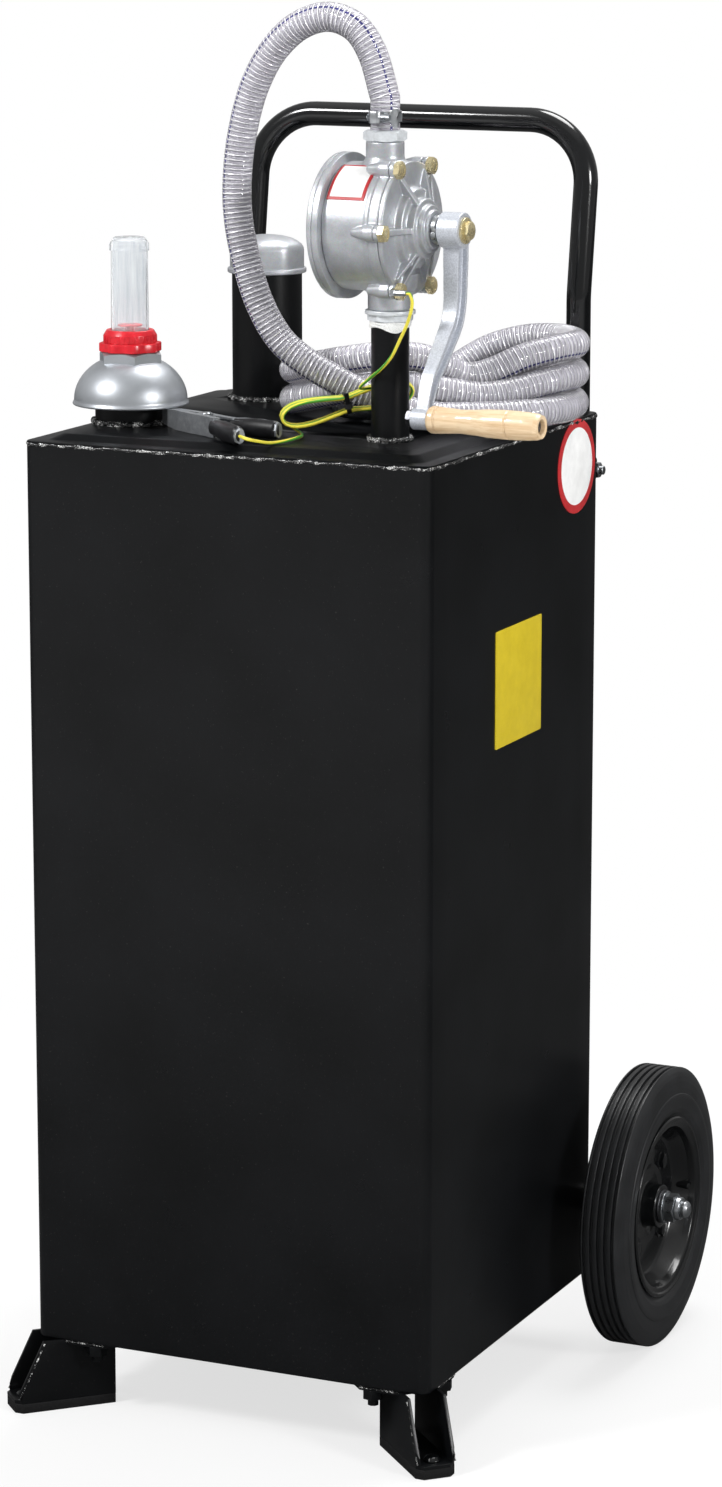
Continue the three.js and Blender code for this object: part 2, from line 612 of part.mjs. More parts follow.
// Stations of the handle's centre line on the right side, from the foot to the middle of the bar.
function handleHalf() {
  const lean = Math.atan2(barBack - axleBack, handle.barHeight - handle.kink);
  const upward = (height) => new THREE.Vector3(handle.halfSpan, axleBack, height);
  const leaning = (distance) => new THREE.Vector3(handle.halfSpan, axleBack + distance * Math.sin(lean),
    handle.kink + distance * Math.cos(lean));
  const legLength = Math.hypot(barBack - axleBack, handle.barHeight - handle.kink);
  const kinkHalf = handle.kinkRadius * Math.tan(lean / 2);
  const stations = [upward(handle.bottom), upward(handle.kink - kinkHalf)];
  for (let step = 1; step < handle.kinkSteps; step++) {
    const share = step / handle.kinkSteps;
    const early = upward(handle.kink - kinkHalf * (1 - share));
    stations.push(early.lerp(leaning(kinkHalf * share), share));
  }
  stations.push(leaning(kinkHalf));
  for (let step = 0; step <= handle.cornerSteps; step++) {
    const angle = quarterTurn * step / handle.cornerSteps;
    const station = leaning(legLength - handle.cornerRadius * (1 - Math.sin(angle)));
    station.x -= handle.cornerRadius * (1 - Math.cos(angle));
    stations.push(station);
  }
  return stations;
}

function handleFrame() {
  const right = handleHalf();
  const left = right.map((point) => new THREE.Vector3(-point.x, point.y, point.z)).reverse();
  const bent = tube([...right, ...left], handle.tubeRadius, handle.sides);
  const ends = [-handle.halfSpan, handle.halfSpan].map((x) => rod(handle.boreRadius,
    handle.bottom - clearance, handle.bottom + handle.boreDepth, handle.sides).translate(x, axleBack, 0));
  const reach = handle.halfSpan + handle.tubeRadius * 2;
  const axleHole = alongX(rod(axle.radius + clearance, -reach, reach, axle.steps));
  const boltHole = alongX(rod(handleBolt.radius + clearance, -reach, reach, handleBolt.steps));
  return cut(bent, ...ends, axleHole.translate(0, axleBack, axle.height),
    boltHole.translate(0, axleBack, bracket.boltHeight));
}

// U-shaped bracket welded to the back wall, with an upright between its two ears.
function handleBracket(side) {
  const inner = handle.tubeRadius + clearance;
  const outer = inner + bracket.ear;
  const bottom = bracket.boltHeight - bracket.halfHeight;
  const top = bracket.boltHeight + bracket.halfHeight;
  const web = block(-outer, outer, tank.depth, tank.depth + bracket.web, bottom, top);
  const arms = block(-outer, outer, tank.depth, axleBack + bracket.reach, bottom, top);
  const nose = alongX(rod(bracket.halfHeight, -outer, outer, axle.steps))
    .translate(0, axleBack, bracket.boltHeight);
  const rounded = common(arms, join(nose, block(-outer, outer, tank.depth, axleBack, bottom, top)));
  const channel = block(-inner, inner, tank.depth + bracket.web, axleBack + bracket.reach * 2,
    bottom - clearance, top + clearance);
  const hole = alongX(rod(handleBolt.radius + clearance, -outer * 2, outer * 2, handleBolt.steps));
  const solid = cut(join(web, rounded), channel, hole.translate(0, axleBack, bracket.boltHeight));
  return solid.translate([side * handle.halfSpan, 0, 0]);
}

function handleBoltSolid(side) {
  const earFace = handle.tubeRadius + clearance + bracket.ear;
  const nutSeat = earFace + handleBolt.washerThickness;
  const head = prism(hexagonSides, handleBolt.headFlats, -earFace - handleBolt.headHeight, -earFace);
  const shank = rod(handleBolt.radius, -earFace - clearance,
    nutSeat + handleBolt.nutHeight + handleBolt.overrun, handleBolt.steps);
  const washer = rod(handleBolt.washerRadius, earFace, nutSeat, handleBolt.steps);
  const nut = prism(hexagonSides, handleBolt.headFlats, nutSeat - clearance,
    nutSeat + handleBolt.nutHeight);
  const bolt = join(head, shank, washer, nut).rotate([0, quarterDegrees, side > 0 ? 0 : halfDegrees]);
  return bolt.translate([side * handle.halfSpan, axleBack, bracket.boltHeight]);
}

// Outline of the pad, with its outer corners cut off and a notch at its inner end.
function padOutline(half) {
  const back = foot.tip - foot.length;
  return [
    [back, -half], [foot.tip - foot.padChamfer, -half], [foot.tip, -half + foot.padChamfer],
    [foot.tip, half - foot.padChamfer], [foot.tip - foot.padChamfer, half], [back, half],
    [back, foot.notchHalf], [back + foot.notchDepth, foot.notchHalf],
    [back + foot.notchDepth, -foot.notchHalf], [back, -foot.notchHalf],
  ];
}

function footPad() {
  return slab(padOutline(foot.width / 2), -groundClearance, -groundClearance + foot.padThickness);
}

// Channel with slanted side walls, the plate that holds it under the tank, and its bolts.
function footBracket() {
  const seat = -groundClearance + foot.padThickness;
  const half = foot.width / 2 - clearance;
  const back = foot.tip - foot.length;
  const sideOutline = [[back, seat], [foot.tip, seat], [foot.tip, seat + foot.sheet], [foot.wallFront, 0],
    [back, 0]];
  const profile = slab(sideOutline, -half, half).rotateX(quarterTurn);
  const hollow = block(back - foot.sheet, foot.tip + foot.sheet, -half + foot.sheet, half - foot.sheet,
    seat + foot.sheet, foot.sheet);
  const plate = slab([[foot.plateBack, -foot.plateHalf], [foot.plateMiddle, -foot.plateHalf],
    [foot.plateFront, -foot.plateHalfFront], [foot.plateFront, foot.plateHalfFront],
    [foot.plateMiddle, foot.plateHalf], [foot.plateBack, foot.plateHalf]], -foot.plateThickness, 0);
  const bolts = [-foot.boltAside, foot.boltAside].map((aside) => plateBolt()
    .translate([foot.boltForward, aside, 0]));
  const screw = rod(foot.screwRadius, seat + foot.sheet - clearance, seat + foot.sheet + foot.screwHeight,
    foot.steps);
  return join(cut(common(profile, slab(padOutline(half), seat, 0)), hollow), plate,
    screw.translate(foot.screwForward, 0, 0), ...bolts);
}

function plateBolt() {
  const seat = -foot.plateThickness;
  const nut = prism(hexagonSides, foot.nutFlats, seat - foot.nutHeight, seat + clearance);
  const end = rod(foot.boltRadius, seat - foot.boltDrop, seat - clearance, foot.steps);
  return join(nut, end);
}

function footSet(side, name) {
  const group = new THREE.Group();
  group.position.set(side * foot.centre, foot.centre, 0);
  group.rotation.z = -radian * (side > 0 ? foot.turnOut : halfDegrees - foot.turnOut);
  group.add(
    mesh(`foot_pad_${name}`, footPad(), finishes.greyRubber),
    mesh(`foot_bracket_${name}`, footBracket(), finishes.blackPaint),
  );
  return group;
}

// Dome over the gauge neck, with its hexagon and the slotted stem that carries the float.
function gaugeCap() {
  const seat = tank.height + neck.top;
  const lip = tank.height + dome.lip;
  const profile = [[0, seat], [dome.seatBore, seat], [dome.seatBore, lip], [dome.lipRadius, lip],
    [dome.lipRadius, lip + dome.lipHeight]];
  for (let step = 0; step <= dome.arcSteps; step++) {
    const angle = dome.arcEnd * radian * step / dome.arcSteps;
    profile.push([dome.radius * Math.cos(angle),
      tank.height + dome.shoulder + dome.rise * Math.sin(angle)]);
  }
  profile.push([0, tank.height + dome.shoulder + dome.rise * Math.sin(dome.arcEnd * radian)]);
  const hexagon = prism(hexagonSides, dome.hexFlats, tank.height + dome.hexBottom,
    tank.height + dome.hexTop);
  const foot = stem.pivot - stem.below;
  const column = rod(stem.radius, foot, seat + dome.lipHeight, stem.steps);
  const bore = rod(stem.bore, foot - stem.below, tank.height + dome.hexTop + stem.below, stem.steps);
  const slot = block(-stem.radius * 2, stem.radius * 2, -stem.slotHalf, stem.slotHalf, foot - stem.below,
    stem.pivot + stem.slotTop);
  const pinHole = rod(stem.pinHole, -stem.radius * 2, stem.radius * 2, stem.pinSteps).rotateX(quarterTurn);
  return cut(join(turned(profile, dome.steps), hexagon, column), bore, slot,
    pinHole.translate(0, 0, stem.pivot));
}

function gaugeBezel() {
  const outline = [];
  for (let index = 0; index < bezel.steps; index++) {
    const angle = fullTurn * index / bezel.steps;
    const radius = bezel.flange + bezel.lobe * Math.cos(angle * bezel.lobes);
    outline.push([radius * Math.cos(angle), radius * Math.sin(angle)]);
  }
  const flange = slab(outline, tank.height + bezel.bottom, tank.height + bezel.flangeTop);
  const body = turned([[0, tank.height + bezel.bottom], [bezel.body, tank.height + bezel.bottom],
    [bezel.body, tank.height + bezel.top - bezel.shoulderDrop], [bezel.shoulder, tank.height + bezel.top],
    [0, tank.height + bezel.top]], bezel.bodySteps);
  const bore = rod(bezel.bore, tank.height + bezel.bottom - clearance,
    tank.height + bezel.top + clearance, sight.steps);
  return cut(join(flange, body), bore);
}

function sightTube() {
  const seat = tank.height + bezel.bottom;
  const top = tank.height + sight.top;
  return turned([
    [0, top - sight.crown], [sight.inner, top - sight.crown], [sight.inner, seat], [sight.outer, seat],
    [sight.outer, tank.height + bezel.top], [sight.waist, tank.height + sight.lipBottom],
    [sight.lip, tank.height + sight.lipBottom], [sight.lip, tank.height + sight.lipTop],
    [sight.crownRadius, top], [0, top],
  ], sight.steps);
}

// Disc and rod that ride up in the sight tube when the cam lifts the rod's point.
function levelIndicator() {
  const point = stem.pivot + float.camBase + indicator.pointGap;
  const disc = tank.height + indicator.discBottom;
  return turned([
    [0, point], [indicator.point, point], [indicator.rod, point + indicator.pointLength],
    [indicator.rod, disc], [indicator.disc, disc], [indicator.disc, disc + indicator.discHeight],
    [0, disc + indicator.discHeight],
  ], indicator.steps);
}

// Snail cam whose radius grows evenly with the angle, so that the disc rises evenly with the float.
function camOutline() {
  const outline = [];
  const sweep = gauge.swing * radian;
  for (let step = 0; step <= float.camSteps; step++) {
    const share = step / float.camSteps;
    const angle = quarterTurn - sweep * share;
    const radius = float.camBase + gauge.travel * share;
    outline.push([radius * Math.cos(angle), radius * Math.sin(angle)]);
  }
  const last = quarterTurn - sweep - float.camMargin * radian;
  const lastRadius = float.camBase + gauge.travel;
  outline.push([lastRadius * Math.cos(last), lastRadius * Math.sin(last)]);
  outline.push([0, -float.hub], [-float.hub, 0]);
  const first = quarterTurn + float.camMargin * radian;
  outline.push([float.camBase * Math.cos(first), float.camBase * Math.sin(first)]);
  return outline.reverse();
}

function floatArm() {
  const cam = slab(camOutline(), -float.camThickness / 2, float.camThickness / 2).rotateX(quarterTurn);
  const pin = rod(float.pin, -float.pinHalf, float.pinHalf, stem.pinSteps).rotateX(quarterTurn);
  const hub = rod(float.hub, -float.camThickness / 2, float.camThickness / 2, stem.steps)
    .rotateX(quarterTurn);
  const start = float.camBase + gauge.travel - float.camMargin;
  const link = block(0, start + float.camMargin, -float.camThickness / 2, float.camThickness / 2,
    -float.armRadius, float.armRadius);
  const bar = alongX(rod(float.armRadius, start - float.camMargin, float.armLength, float.steps));
  const ball = alongX(turned([
    [0, float.armLength - float.halfLength], [float.endRadius, float.armLength - float.halfLength],
    [float.radius, float.armLength - float.halfLength / 2],
    [float.radius, float.armLength + float.halfLength / 2],
    [float.endRadius, float.armLength + float.halfLength], [0, float.armLength + float.halfLength],
  ], float.steps));
  const swung = join(link, bar, ball).rotate([0, -gauge.rest, 0]);
  return join(cam, pin, hub, swung);
}

function gaugeSet() {
  const group = new THREE.Group();
  group.position.set(neck.x, neck.y, 0);
  group.rotation.z = gauge.heading * radian;
  const arm = mesh("float_arm", floatArm(), finishes.zincSteel);
  arm.position.z = stem.pivot;
  group.add(
    mesh("gauge_cap", gaugeCap(), finishes.silverPaint),
    mesh("gauge_bezel", gaugeBezel(), finishes.redPlastic),
    mesh("sight_tube", sightTube(), finishes.clearPlastic),
    mesh("level_indicator", levelIndicator(), finishes.redPlastic),
    arm,
  );
  return group;
}

// Ring of the cap's grip: flats with soft corners, drawn in by a share.
function capRing(height, share) {
  const points = [];
  for (let index = 0; index < cap.steps; index++) {
    const angle = fullTurn * index / cap.steps;
    const flat = fullTurn / cap.flats;
    const offset = ((angle % flat) + flat) % flat - flat / 2;
    const radius = Math.min(cap.apothem / Math.cos(offset), cap.softRadius) * share;
    points.push(new THREE.Vector3(radius * Math.cos(angle), radius * Math.sin(angle),
      tank.height + height));
  }
  return points;
}

function fillerCap() {
  const knob = loft([capRing(cap.lip, 1), capRing(cap.sideTop, 1), capRing(cap.brow, cap.browShare),
    capRing(cap.shoulder, cap.shoulderShare), capRing(cap.crown, cap.crownShare)]);
  const lip = rod(cap.lipRadius, tank.height + cap.lip, tank.height + cap.lipTop, cap.steps);
  const bore = rod(cap.bore, tank.height + cap.lip - clearance, tank.height + filler.top, filler.steps);
  return cut(join(knob, lip), bore).translate([filler.x, filler.y, 0]);
}

// Port cast on the pump barrel, flared where it meets the barrel.
function portProfile(radius, flare, mouth, straightEnd, flareEnd) {
  return [[0, pump.portRoot], [flare, pump.portRoot], [flare, flareEnd], [radius, straightEnd],
    [radius, mouth], [0, mouth]];
}

function pumpBody() {
  const barrel = alongX(rod(pump.barrel, pump.rearInner, pump.flangeBack + clearance, pump.steps));
  const flange = alongX(rod(pump.flange, pump.flangeBack, pump.flangeFront, pump.steps));
  const topPort = turned(portProfile(pump.topPort, pump.topFlare, pump.portTop, pump.topNeck,
    pump.topFlareTop), pump.portSteps);
  const bottomPort = turned(portProfile(pump.bottomPort, pump.bottomFlare, -pump.portBottom,
    pump.bottomNeck, pump.bottomFlareTop), pump.portSteps).rotateX(Math.PI);
  const lugs = atEachBolt(() => rod(pump.lugTail, pump.lugBack, pump.flangeFront, pump.lugSteps, pump.lug));
  const holes = atEachBolt(() => rod(pump.boltHole, pump.lugBack * 2, pump.flangeFront * 2,
    coverBolt.steps));
  const bore = alongX(rod(pump.bore, pump.rearInner - clearance, pump.flangeFront + clearance,
    rotor.steps));
  const coverSeat = alongX(rod(cover.radius + cover.edge, pump.flangeFront, pump.flangeFront * 2,
    pump.steps));
  const outletBore = rod(pump.topBore, 0, pump.portTop + clearance, pump.portSteps)
    .translate(pump.topForward, 0, 0);
  const inletBore = rod(pump.bottomBore, pump.portBottom - clearance, 0, pump.portSteps);
  const casting = join(barrel, flange, topPort.translate(pump.topForward, 0, 0), bottomPort, ...lugs);
  return cut(casting, bore.translate(0, pump.boreOffset, 0), outletBore, inletBore, coverSeat, ...holes);
}

// The same round piece on the axis of each cover bolt.
function atEachBolt(make) {
  const row = [];
  for (let index = 0; index < pump.boltCount; index++) {
    const angle = fullTurn * index / pump.boltCount;
    row.push(alongX(make()).translate(0, pump.boltCircle, 0).rotateX(angle));
  }
  return row;
}

function pumpRearCover() {
  const edge = pump.rearRadius - pump.rearEdge;
  const grooved = pump.rearRadius - pump.rearGroove;
  return alongX(turned([
    [0, pump.rearBossTop], [pump.rearBoss - pump.rearEdge, pump.rearBossTop],
    [pump.rearBoss, pump.rearFace], [pump.rearRing, pump.rearFace],
    [pump.rearRing + pump.rearEdge, pump.rearOuter], [edge, pump.rearOuter],
    [pump.rearRadius, pump.rearOuter + pump.rearEdge], [pump.rearRadius, pump.grooveBottom],
    [grooved, (pump.grooveBottom + pump.grooveTop) / 2], [pump.rearRadius, pump.grooveTop],
    [pump.rearRadius, pump.rearInner], [0, pump.rearInner],
  ], pump.steps));
}

// Wedge-shaped rib from the hub down to an ear of the cover.
function coverRib(angle, thickness) {
  const outline = [[cover.ribFoot, cover.ribRoot], [cover.ribFoot, cover.ribTip],
    [cover.ribTipTop, cover.ribTip], [cover.ribCrest, cover.ribRoot]];
  return slab(outline.reverse(), -thickness / 2, thickness / 2).rotateX(angle * radian);
}

// Cover casting: flange with six ears, stepped hub, and single and paired ribs out to the ears.
function pumpFrontCover() {
  const body = alongX(turned([
    [0, cover.back], [cover.radius, cover.back], [cover.radius, cover.front - cover.edge],
    [cover.radius - cover.edge, cover.front], [cover.padFoot, cover.front],
    [cover.padRadius, cover.padTop], [cover.hubRadius + cover.edge, cover.padTop],
    [cover.hubRadius, cover.hubTop], [cover.neckRadius, cover.hubTop],
    [cover.neckRadius, cover.neckTop], [cover.glandRadius, cover.neckTop],
    [cover.glandRadius, cover.glandTop], [0, cover.glandTop],
  ], cover.steps));
  const ears = atEachBolt(() => rod(pump.lug, cover.back, cover.front, pump.lugSteps));
  const holes = atEachBolt(() => rod(pump.boltHole, 0, cover.front * 2, coverBolt.steps));
  const ribs = cover.singles.map((angle) => coverRib(angle, cover.ribThickness));
  for (const angle of cover.pairs) {
    ribs.push(coverRib(angle - cover.pairSpread, cover.pairThickness));
    ribs.push(coverRib(angle + cover.pairSpread, cover.pairThickness));
  }
  const shaftBore = alongX(rod(cover.shaftBore, 0, cover.glandTop * 2, cover.boreSteps));
  return cut(join(body, ...ears, ...ribs), shaftBore, ...holes);
}

// Hexagon bolt of the cover; the one with the earth lug under it stands that much higher.
function coverBoltSolid(index) {
  const seat = cover.front + (index === coverBolt.lugged ? lugTag.thickness : 0);
  const head = prism(hexagonSides, coverBolt.headFlats, seat, seat + coverBolt.headHeight);
  const shank = rod(coverBolt.radius, coverBolt.end, seat + clearance, coverBolt.steps);
  const turn = fullDegrees * index / pump.boltCount;
  return join(head, shank).rotate([0, quarterDegrees, 0]).translate([0, pump.boltCircle, 0])
    .rotate([turn, 0, 0]);
}

function packingNut() {
  const body = ring(cover.shaftBore, packing.radius, packing.back, packing.front, packing.steps);
  const notches = [];
  for (let index = 0; index < packing.notches; index++) {
    const notch = block(packing.radius - packing.notchDepth, packing.radius * 2,
      -packing.notch / 2, packing.notch / 2, packing.back - clearance, packing.front + clearance);
    notches.push(notch.rotateZ(fullTurn * index / packing.notches));
  }
  return cut(body, ...notches).rotate([0, quarterDegrees, 0]);
}

// Rotor with the slot for the vane, and the shaft that comes out through the cover.
function pumpRotor() {
  const drum = alongX(rod(rotor.radius, rotor.back, rotor.front, rotor.steps));
  const shaft = alongX(rod(rotor.shaft, rotor.front - clearance, rotor.shaftEnd, axle.steps));
  const slot = block(rotor.back - clearance, rotor.slotFront, -rotor.radius * 2, rotor.radius * 2,
    -rotor.slotHalf, rotor.slotHalf);
  const hole = alongX(rod(rotor.boltHole, rotor.shaftEnd - rotor.boltDepth, rotor.shaftEnd + clearance,
    crankBolt.steps));
  return cut(join(drum, shaft), slot, hole);
}

function pumpVane() {
  return block(rotor.back, vane.front, -vane.reach, vane.reach, -vane.half, vane.half);
}

// Lug of the earth wire under a cover bolt, with a tongue bent forward to its crimped barrel.
function ringLug() {
  const disc = rod(lugTag.radius, cover.front, cover.front + lugTag.thickness, lugTag.steps);
  const tongue = block(0, lugTag.tongueReach, -lugTag.tongueHalf, lugTag.tongueHalf, cover.front,
    cover.front + lugTag.thickness);
  const upright = block(lugTag.tongueReach - lugTag.bend, lugTag.tongueReach,
    -lugTag.barrelRadius, lugTag.barrelRadius, cover.front, lugTag.barrelStart + lugTag.thickness);
  const barrel = rod(lugTag.barrelRadius, lugTag.barrelStart, lugTag.barrelEnd, coverBolt.steps)
    .translate(lugTag.tongueReach - lugTag.bend, 0, 0);
  const hole = rod(lugTag.hole, cover.front - clearance, cover.front + lugTag.thickness * 2,
    coverBolt.steps);
  const lug = cut(join(disc, tongue, upright, barrel), hole).rotate([0, 0, -quarterDegrees])
    .rotate([0, quarterDegrees, 0]);
  return lug.translate(lugCentre());
}

function lugCentre() {
  const angle = fullTurn * coverBolt.lugged / pump.boltCount;
  return [0, pump.boltCircle * Math.cos(angle), pump.boltCircle * Math.sin(angle)];
}

// Swan-necked arm with an I section, between the boss on the shaft and the boss of the grip.
function crankArm() {
  const stations = arm.lineShares.map(([back, down]) => [0, arm.throwBack * back, arm.throwDown * down]);
  const line = smoothLine(vectors(stations));
  const rings = [];
  for (let step = 0; step <= arm.steps; step++) {
    const share = step / arm.steps;
    const centre = line.getPoint(share);
    const tangent = line.getTangent(share);
    const aside = new THREE.Vector3(0, -tangent.z, tangent.y);
    const place = share * (arm.widthShares.length - 1);
    const low = Math.min(Math.floor(place), arm.widthShares.length - 2);
    const widthShare = THREE.MathUtils.lerp(arm.widthShares[low], arm.widthShares[low + 1], place - low);
    const width = THREE.MathUtils.lerp(arm.widthBottom, arm.widthTop, widthShare);
    const thickness = THREE.MathUtils.lerp(arm.thicknessTop, arm.thicknessBottom, share);
    rings.push(armRing(centre, aside, width / 2, arm.face - thickness, arm.face));
  }
  const topBoss = rod(arm.bossRadius, arm.bossBack, arm.bossFront, arm.bossSteps).rotateY(quarterTurn);
  const lowBoss = alongX(rod(arm.lowBoss, arm.lowBack, arm.lowFront, arm.bossSteps))
    .translate(0, arm.throwBack, arm.throwDown);
  const shaftBore = alongX(rod(cover.shaftBore, arm.bossBack - clearance, arm.bossFront + clearance,
    axle.steps));
  const pinBore = alongX(rod(arm.pinBore, arm.lowBack - clearance, arm.lowFront + clearance,
    spindle.steps));
  return cut(join(loft(rings), topBoss, lowBoss), shaftBore,
    pinBore.translate(0, arm.throwBack, arm.throwDown));
}

function armRing(centre, aside, half, back, front) {
  const rib = half - arm.flange;
  const section = [
    [-half, back], [-rib, back], [-rib, back + arm.grooveDepth], [rib, back + arm.grooveDepth],
    [rib, back], [half, back], [half, front], [rib, front], [rib, front - arm.grooveDepth],
    [-rib, front - arm.grooveDepth], [-rib, front], [-half, front],
  ];
  return section.map(([across, forward]) => centre.clone().addScaledVector(aside, across).setX(forward));
}

function crankBoltSolid() {
  const head = prism(hexagonSides, crankBolt.headFlats, crankBolt.back - clearance, crankBolt.front);
  const washer = rod(crankBolt.washerRadius, arm.bossFront, crankBolt.back, arm.bossSteps);
  const shank = rod(crankBolt.radius, rotor.shaftEnd - crankBolt.depth, crankBolt.back, crankBolt.steps);
  return join(head, washer, shank).rotate([0, quarterDegrees, 0]);
}

function gripSpindle() {
  const nut = prism(hexagonSides, spindle.nutFlats, spindle.nutBack, spindle.nutFront);
  const pin = rod(spindle.radius, spindle.nutBack, spindle.end + clearance, spindle.steps);
  const head = rod(spindle.headRadius, spindle.end, spindle.headTop, spindle.steps);
  return join(nut, pin, head).rotate([0, quarterDegrees, 0]).translate([0, arm.throwBack, arm.throwDown]);
}

function crankGrip() {
  const profile = grip.profileShares.map(([radius, along]) => [grip.radius * radius,
    THREE.MathUtils.lerp(grip.back, grip.front, along)]);
  const handleShape = turned([[0, grip.back], ...profile, [0, grip.front]], grip.steps);
  const bore = rod(grip.bore, grip.back - clearance, grip.front + clearance, grip.steps);
  const mouth = rod(grip.counterbore, grip.counterboreStart, grip.front + clearance, grip.steps);
  return cut(handleShape, bore, mouth).rotate([0, quarterDegrees, 0])
    .translate([0, arm.throwBack, arm.throwDown]);
}

// Threaded outlet on the top port, with the barb that the hose is pushed over.
function outletFitting() {
  const hexagon = prism(hexagonSides, outlet.hexFlats, outlet.hexBottom, outlet.hexTop);
  const spigot = rod(outlet.spigot, outlet.hexBottom - outlet.spigotDepth, outlet.hexBottom + clearance,
    outlet.steps);
  const barb = rod(outlet.barb, outlet.hexTop - clearance, outlet.hexTop + outlet.barbHeight, outlet.steps);
  const bore = rod(outlet.bore, outlet.hexBottom - outlet.spigotDepth * 2,
    outlet.hexTop + outlet.barbHeight * 2, outlet.steps);
  return cut(join(hexagon, spigot, barb), bore).translate([pump.topForward, 0, 0]);
}

// Worm clamp round the hose: band, screw housing and wing screw.
function hoseClamp() {
  const bottom = band.centre - band.height / 2;
  const top = band.centre + band.height / 2;
  const loop = ring(band.inner, band.outer, bottom, top, band.steps);
  const housing = block(-band.boxWidth / 2, band.boxWidth / 2, -band.outer - band.boxDepth,
    -band.inner - clearance,
    band.centre - band.boxHeight / 2, band.centre + band.boxHeight / 2);
  const screw = alongX(rod(band.screw, 0, band.boxWidth / 2 + band.screwLength, outlet.steps));
  const wing = block(band.boxWidth / 2 + band.screwLength - band.wingHalf,
    band.boxWidth / 2 + band.screwLength + clearance,
    -band.wingThickness / 2, band.wingThickness / 2, -band.wingHalf, band.wingHalf);
  const worm = join(screw, wing).translate([0, -band.outer - band.boxDepth / 2, band.centre]);
  return join(loop, housing, worm).translate([pump.topForward, 0, 0]);
}

function pumpSet() {
  const group = new THREE.Group();
  group.position.set(riser.x, riser.y, tank.height + pump.rise);
  group.rotation.z = pump.turn * radian;
  group.add(
    mesh("pump_body", pumpBody(), finishes.silverPaint),
    mesh("pump_rear_cover", pumpRearCover(), finishes.silverPaint),
    mesh("pump_front_cover", pumpFrontCover(), finishes.silverPaint),
    mesh("packing_nut", packingNut(), finishes.zincSteel),
    mesh("pump_rotor", pumpRotor(), finishes.castAluminium),
    mesh("pump_vane", pumpVane(), finishes.vane),
    mesh("ring_lug", ringLug(), finishes.zincSteel),
    mesh("crank_arm", crankArm(), finishes.castAluminium),
    mesh("crank_bolt", crankBoltSolid(), finishes.yellowZinc),
    mesh("grip_spindle", gripSpindle(), finishes.darkSteel),
    mesh("crank_grip", crankGrip(), finishes.wood),
    mesh("outlet_fitting", outletFitting(), finishes.paleFitting),
    mesh("hose_clamp", hoseClamp(), finishes.zincSteel),
  );
  for (let index = 0; index < pump.boltCount; index++) {
    group.add(mesh(`cover_bolt_${index + 1}`, coverBoltSolid(index), finishes.yellowZinc));
  }
  return group;
}

// Point of the pump's own frame, in the tank's frame.
function fromPump(forward, back, up) {
  const point = new THREE.Vector3(forward, back, up)
    .applyAxisAngle(new THREE.Vector3(0, 0, 1), pump.turn * radian);
  return point.add(new THREE.Vector3(riser.x, riser.y, tank.height + pump.rise));
}

function ease(share) {
  const inside = THREE.MathUtils.clamp(share, 0, 1);
  return inside * inside * (3 - 2 * inside);
}

// Share of a lean that peaks at one angle of the coil and fades to either side of it.
function leanShare(angle, peak, width) {
  const away = Math.abs(((angle - peak + halfDegrees) % fullDegrees + fullDegrees) % fullDegrees
    - halfDegrees);
  return ease(1 - away / width);
}

// Centre line of the coil at an angle in degrees: an oval that climbs one pitch a turn and leans inward.
function coilPoint(angle) {
  const turnAngle = (angle - coil.skew) * radian;
  const skew = coil.skew * radian;
  const long = coil.halfLength * Math.cos(turnAngle);
  const short = coil.halfWidth * Math.sin(turnAngle);
  const x = coil.x + long * Math.cos(skew) - short * Math.sin(skew);
  const y = coil.y + long * Math.sin(skew) + short * Math.cos(skew);
  const layer = Math.floor((angle - coil.crossing) / fullDegrees);
  const climbed = ease((angle - coil.crossing - fullDegrees * layer) / coil.climb);
  const level = layer < 1 ? 0 : coil.pitch * (layer - 1 + climbed);
  const lean = radian * (coil.backLean * leanShare(angle, coil.backAt, coil.backWidth)
    + coil.frontLean * leanShare(angle, coil.frontAt, coil.frontWidth));
  const inward = new THREE.Vector3(coil.x - x, coil.y - y, 0).normalize();
  const base = new THREE.Vector3(x, y, platform + hose.radius + clearance);
  return base.addScaledVector(inward, level * Math.sin(lean))
    .add(new THREE.Vector3(0, 0, level * Math.cos(lean)));
}

function coilRoute() {
  const points = [];
  for (let angle = coil.first; angle <= coil.last; angle += coil.step) {
    points.push(coilPoint(angle));
  }
  return smoothRoute([...points, ...vectors(coil.tail)], hose.coilSteps);
}

// A bore in the end of a hose, so that a barb can stand inside it.
function hoseEndBore(end, inward) {
  const before = end.clone().addScaledVector(inward, -hose.boreDepth);
  return tube([before, end.clone().addScaledVector(inward, hose.boreDepth)], hose.bore, hose.sides);
}

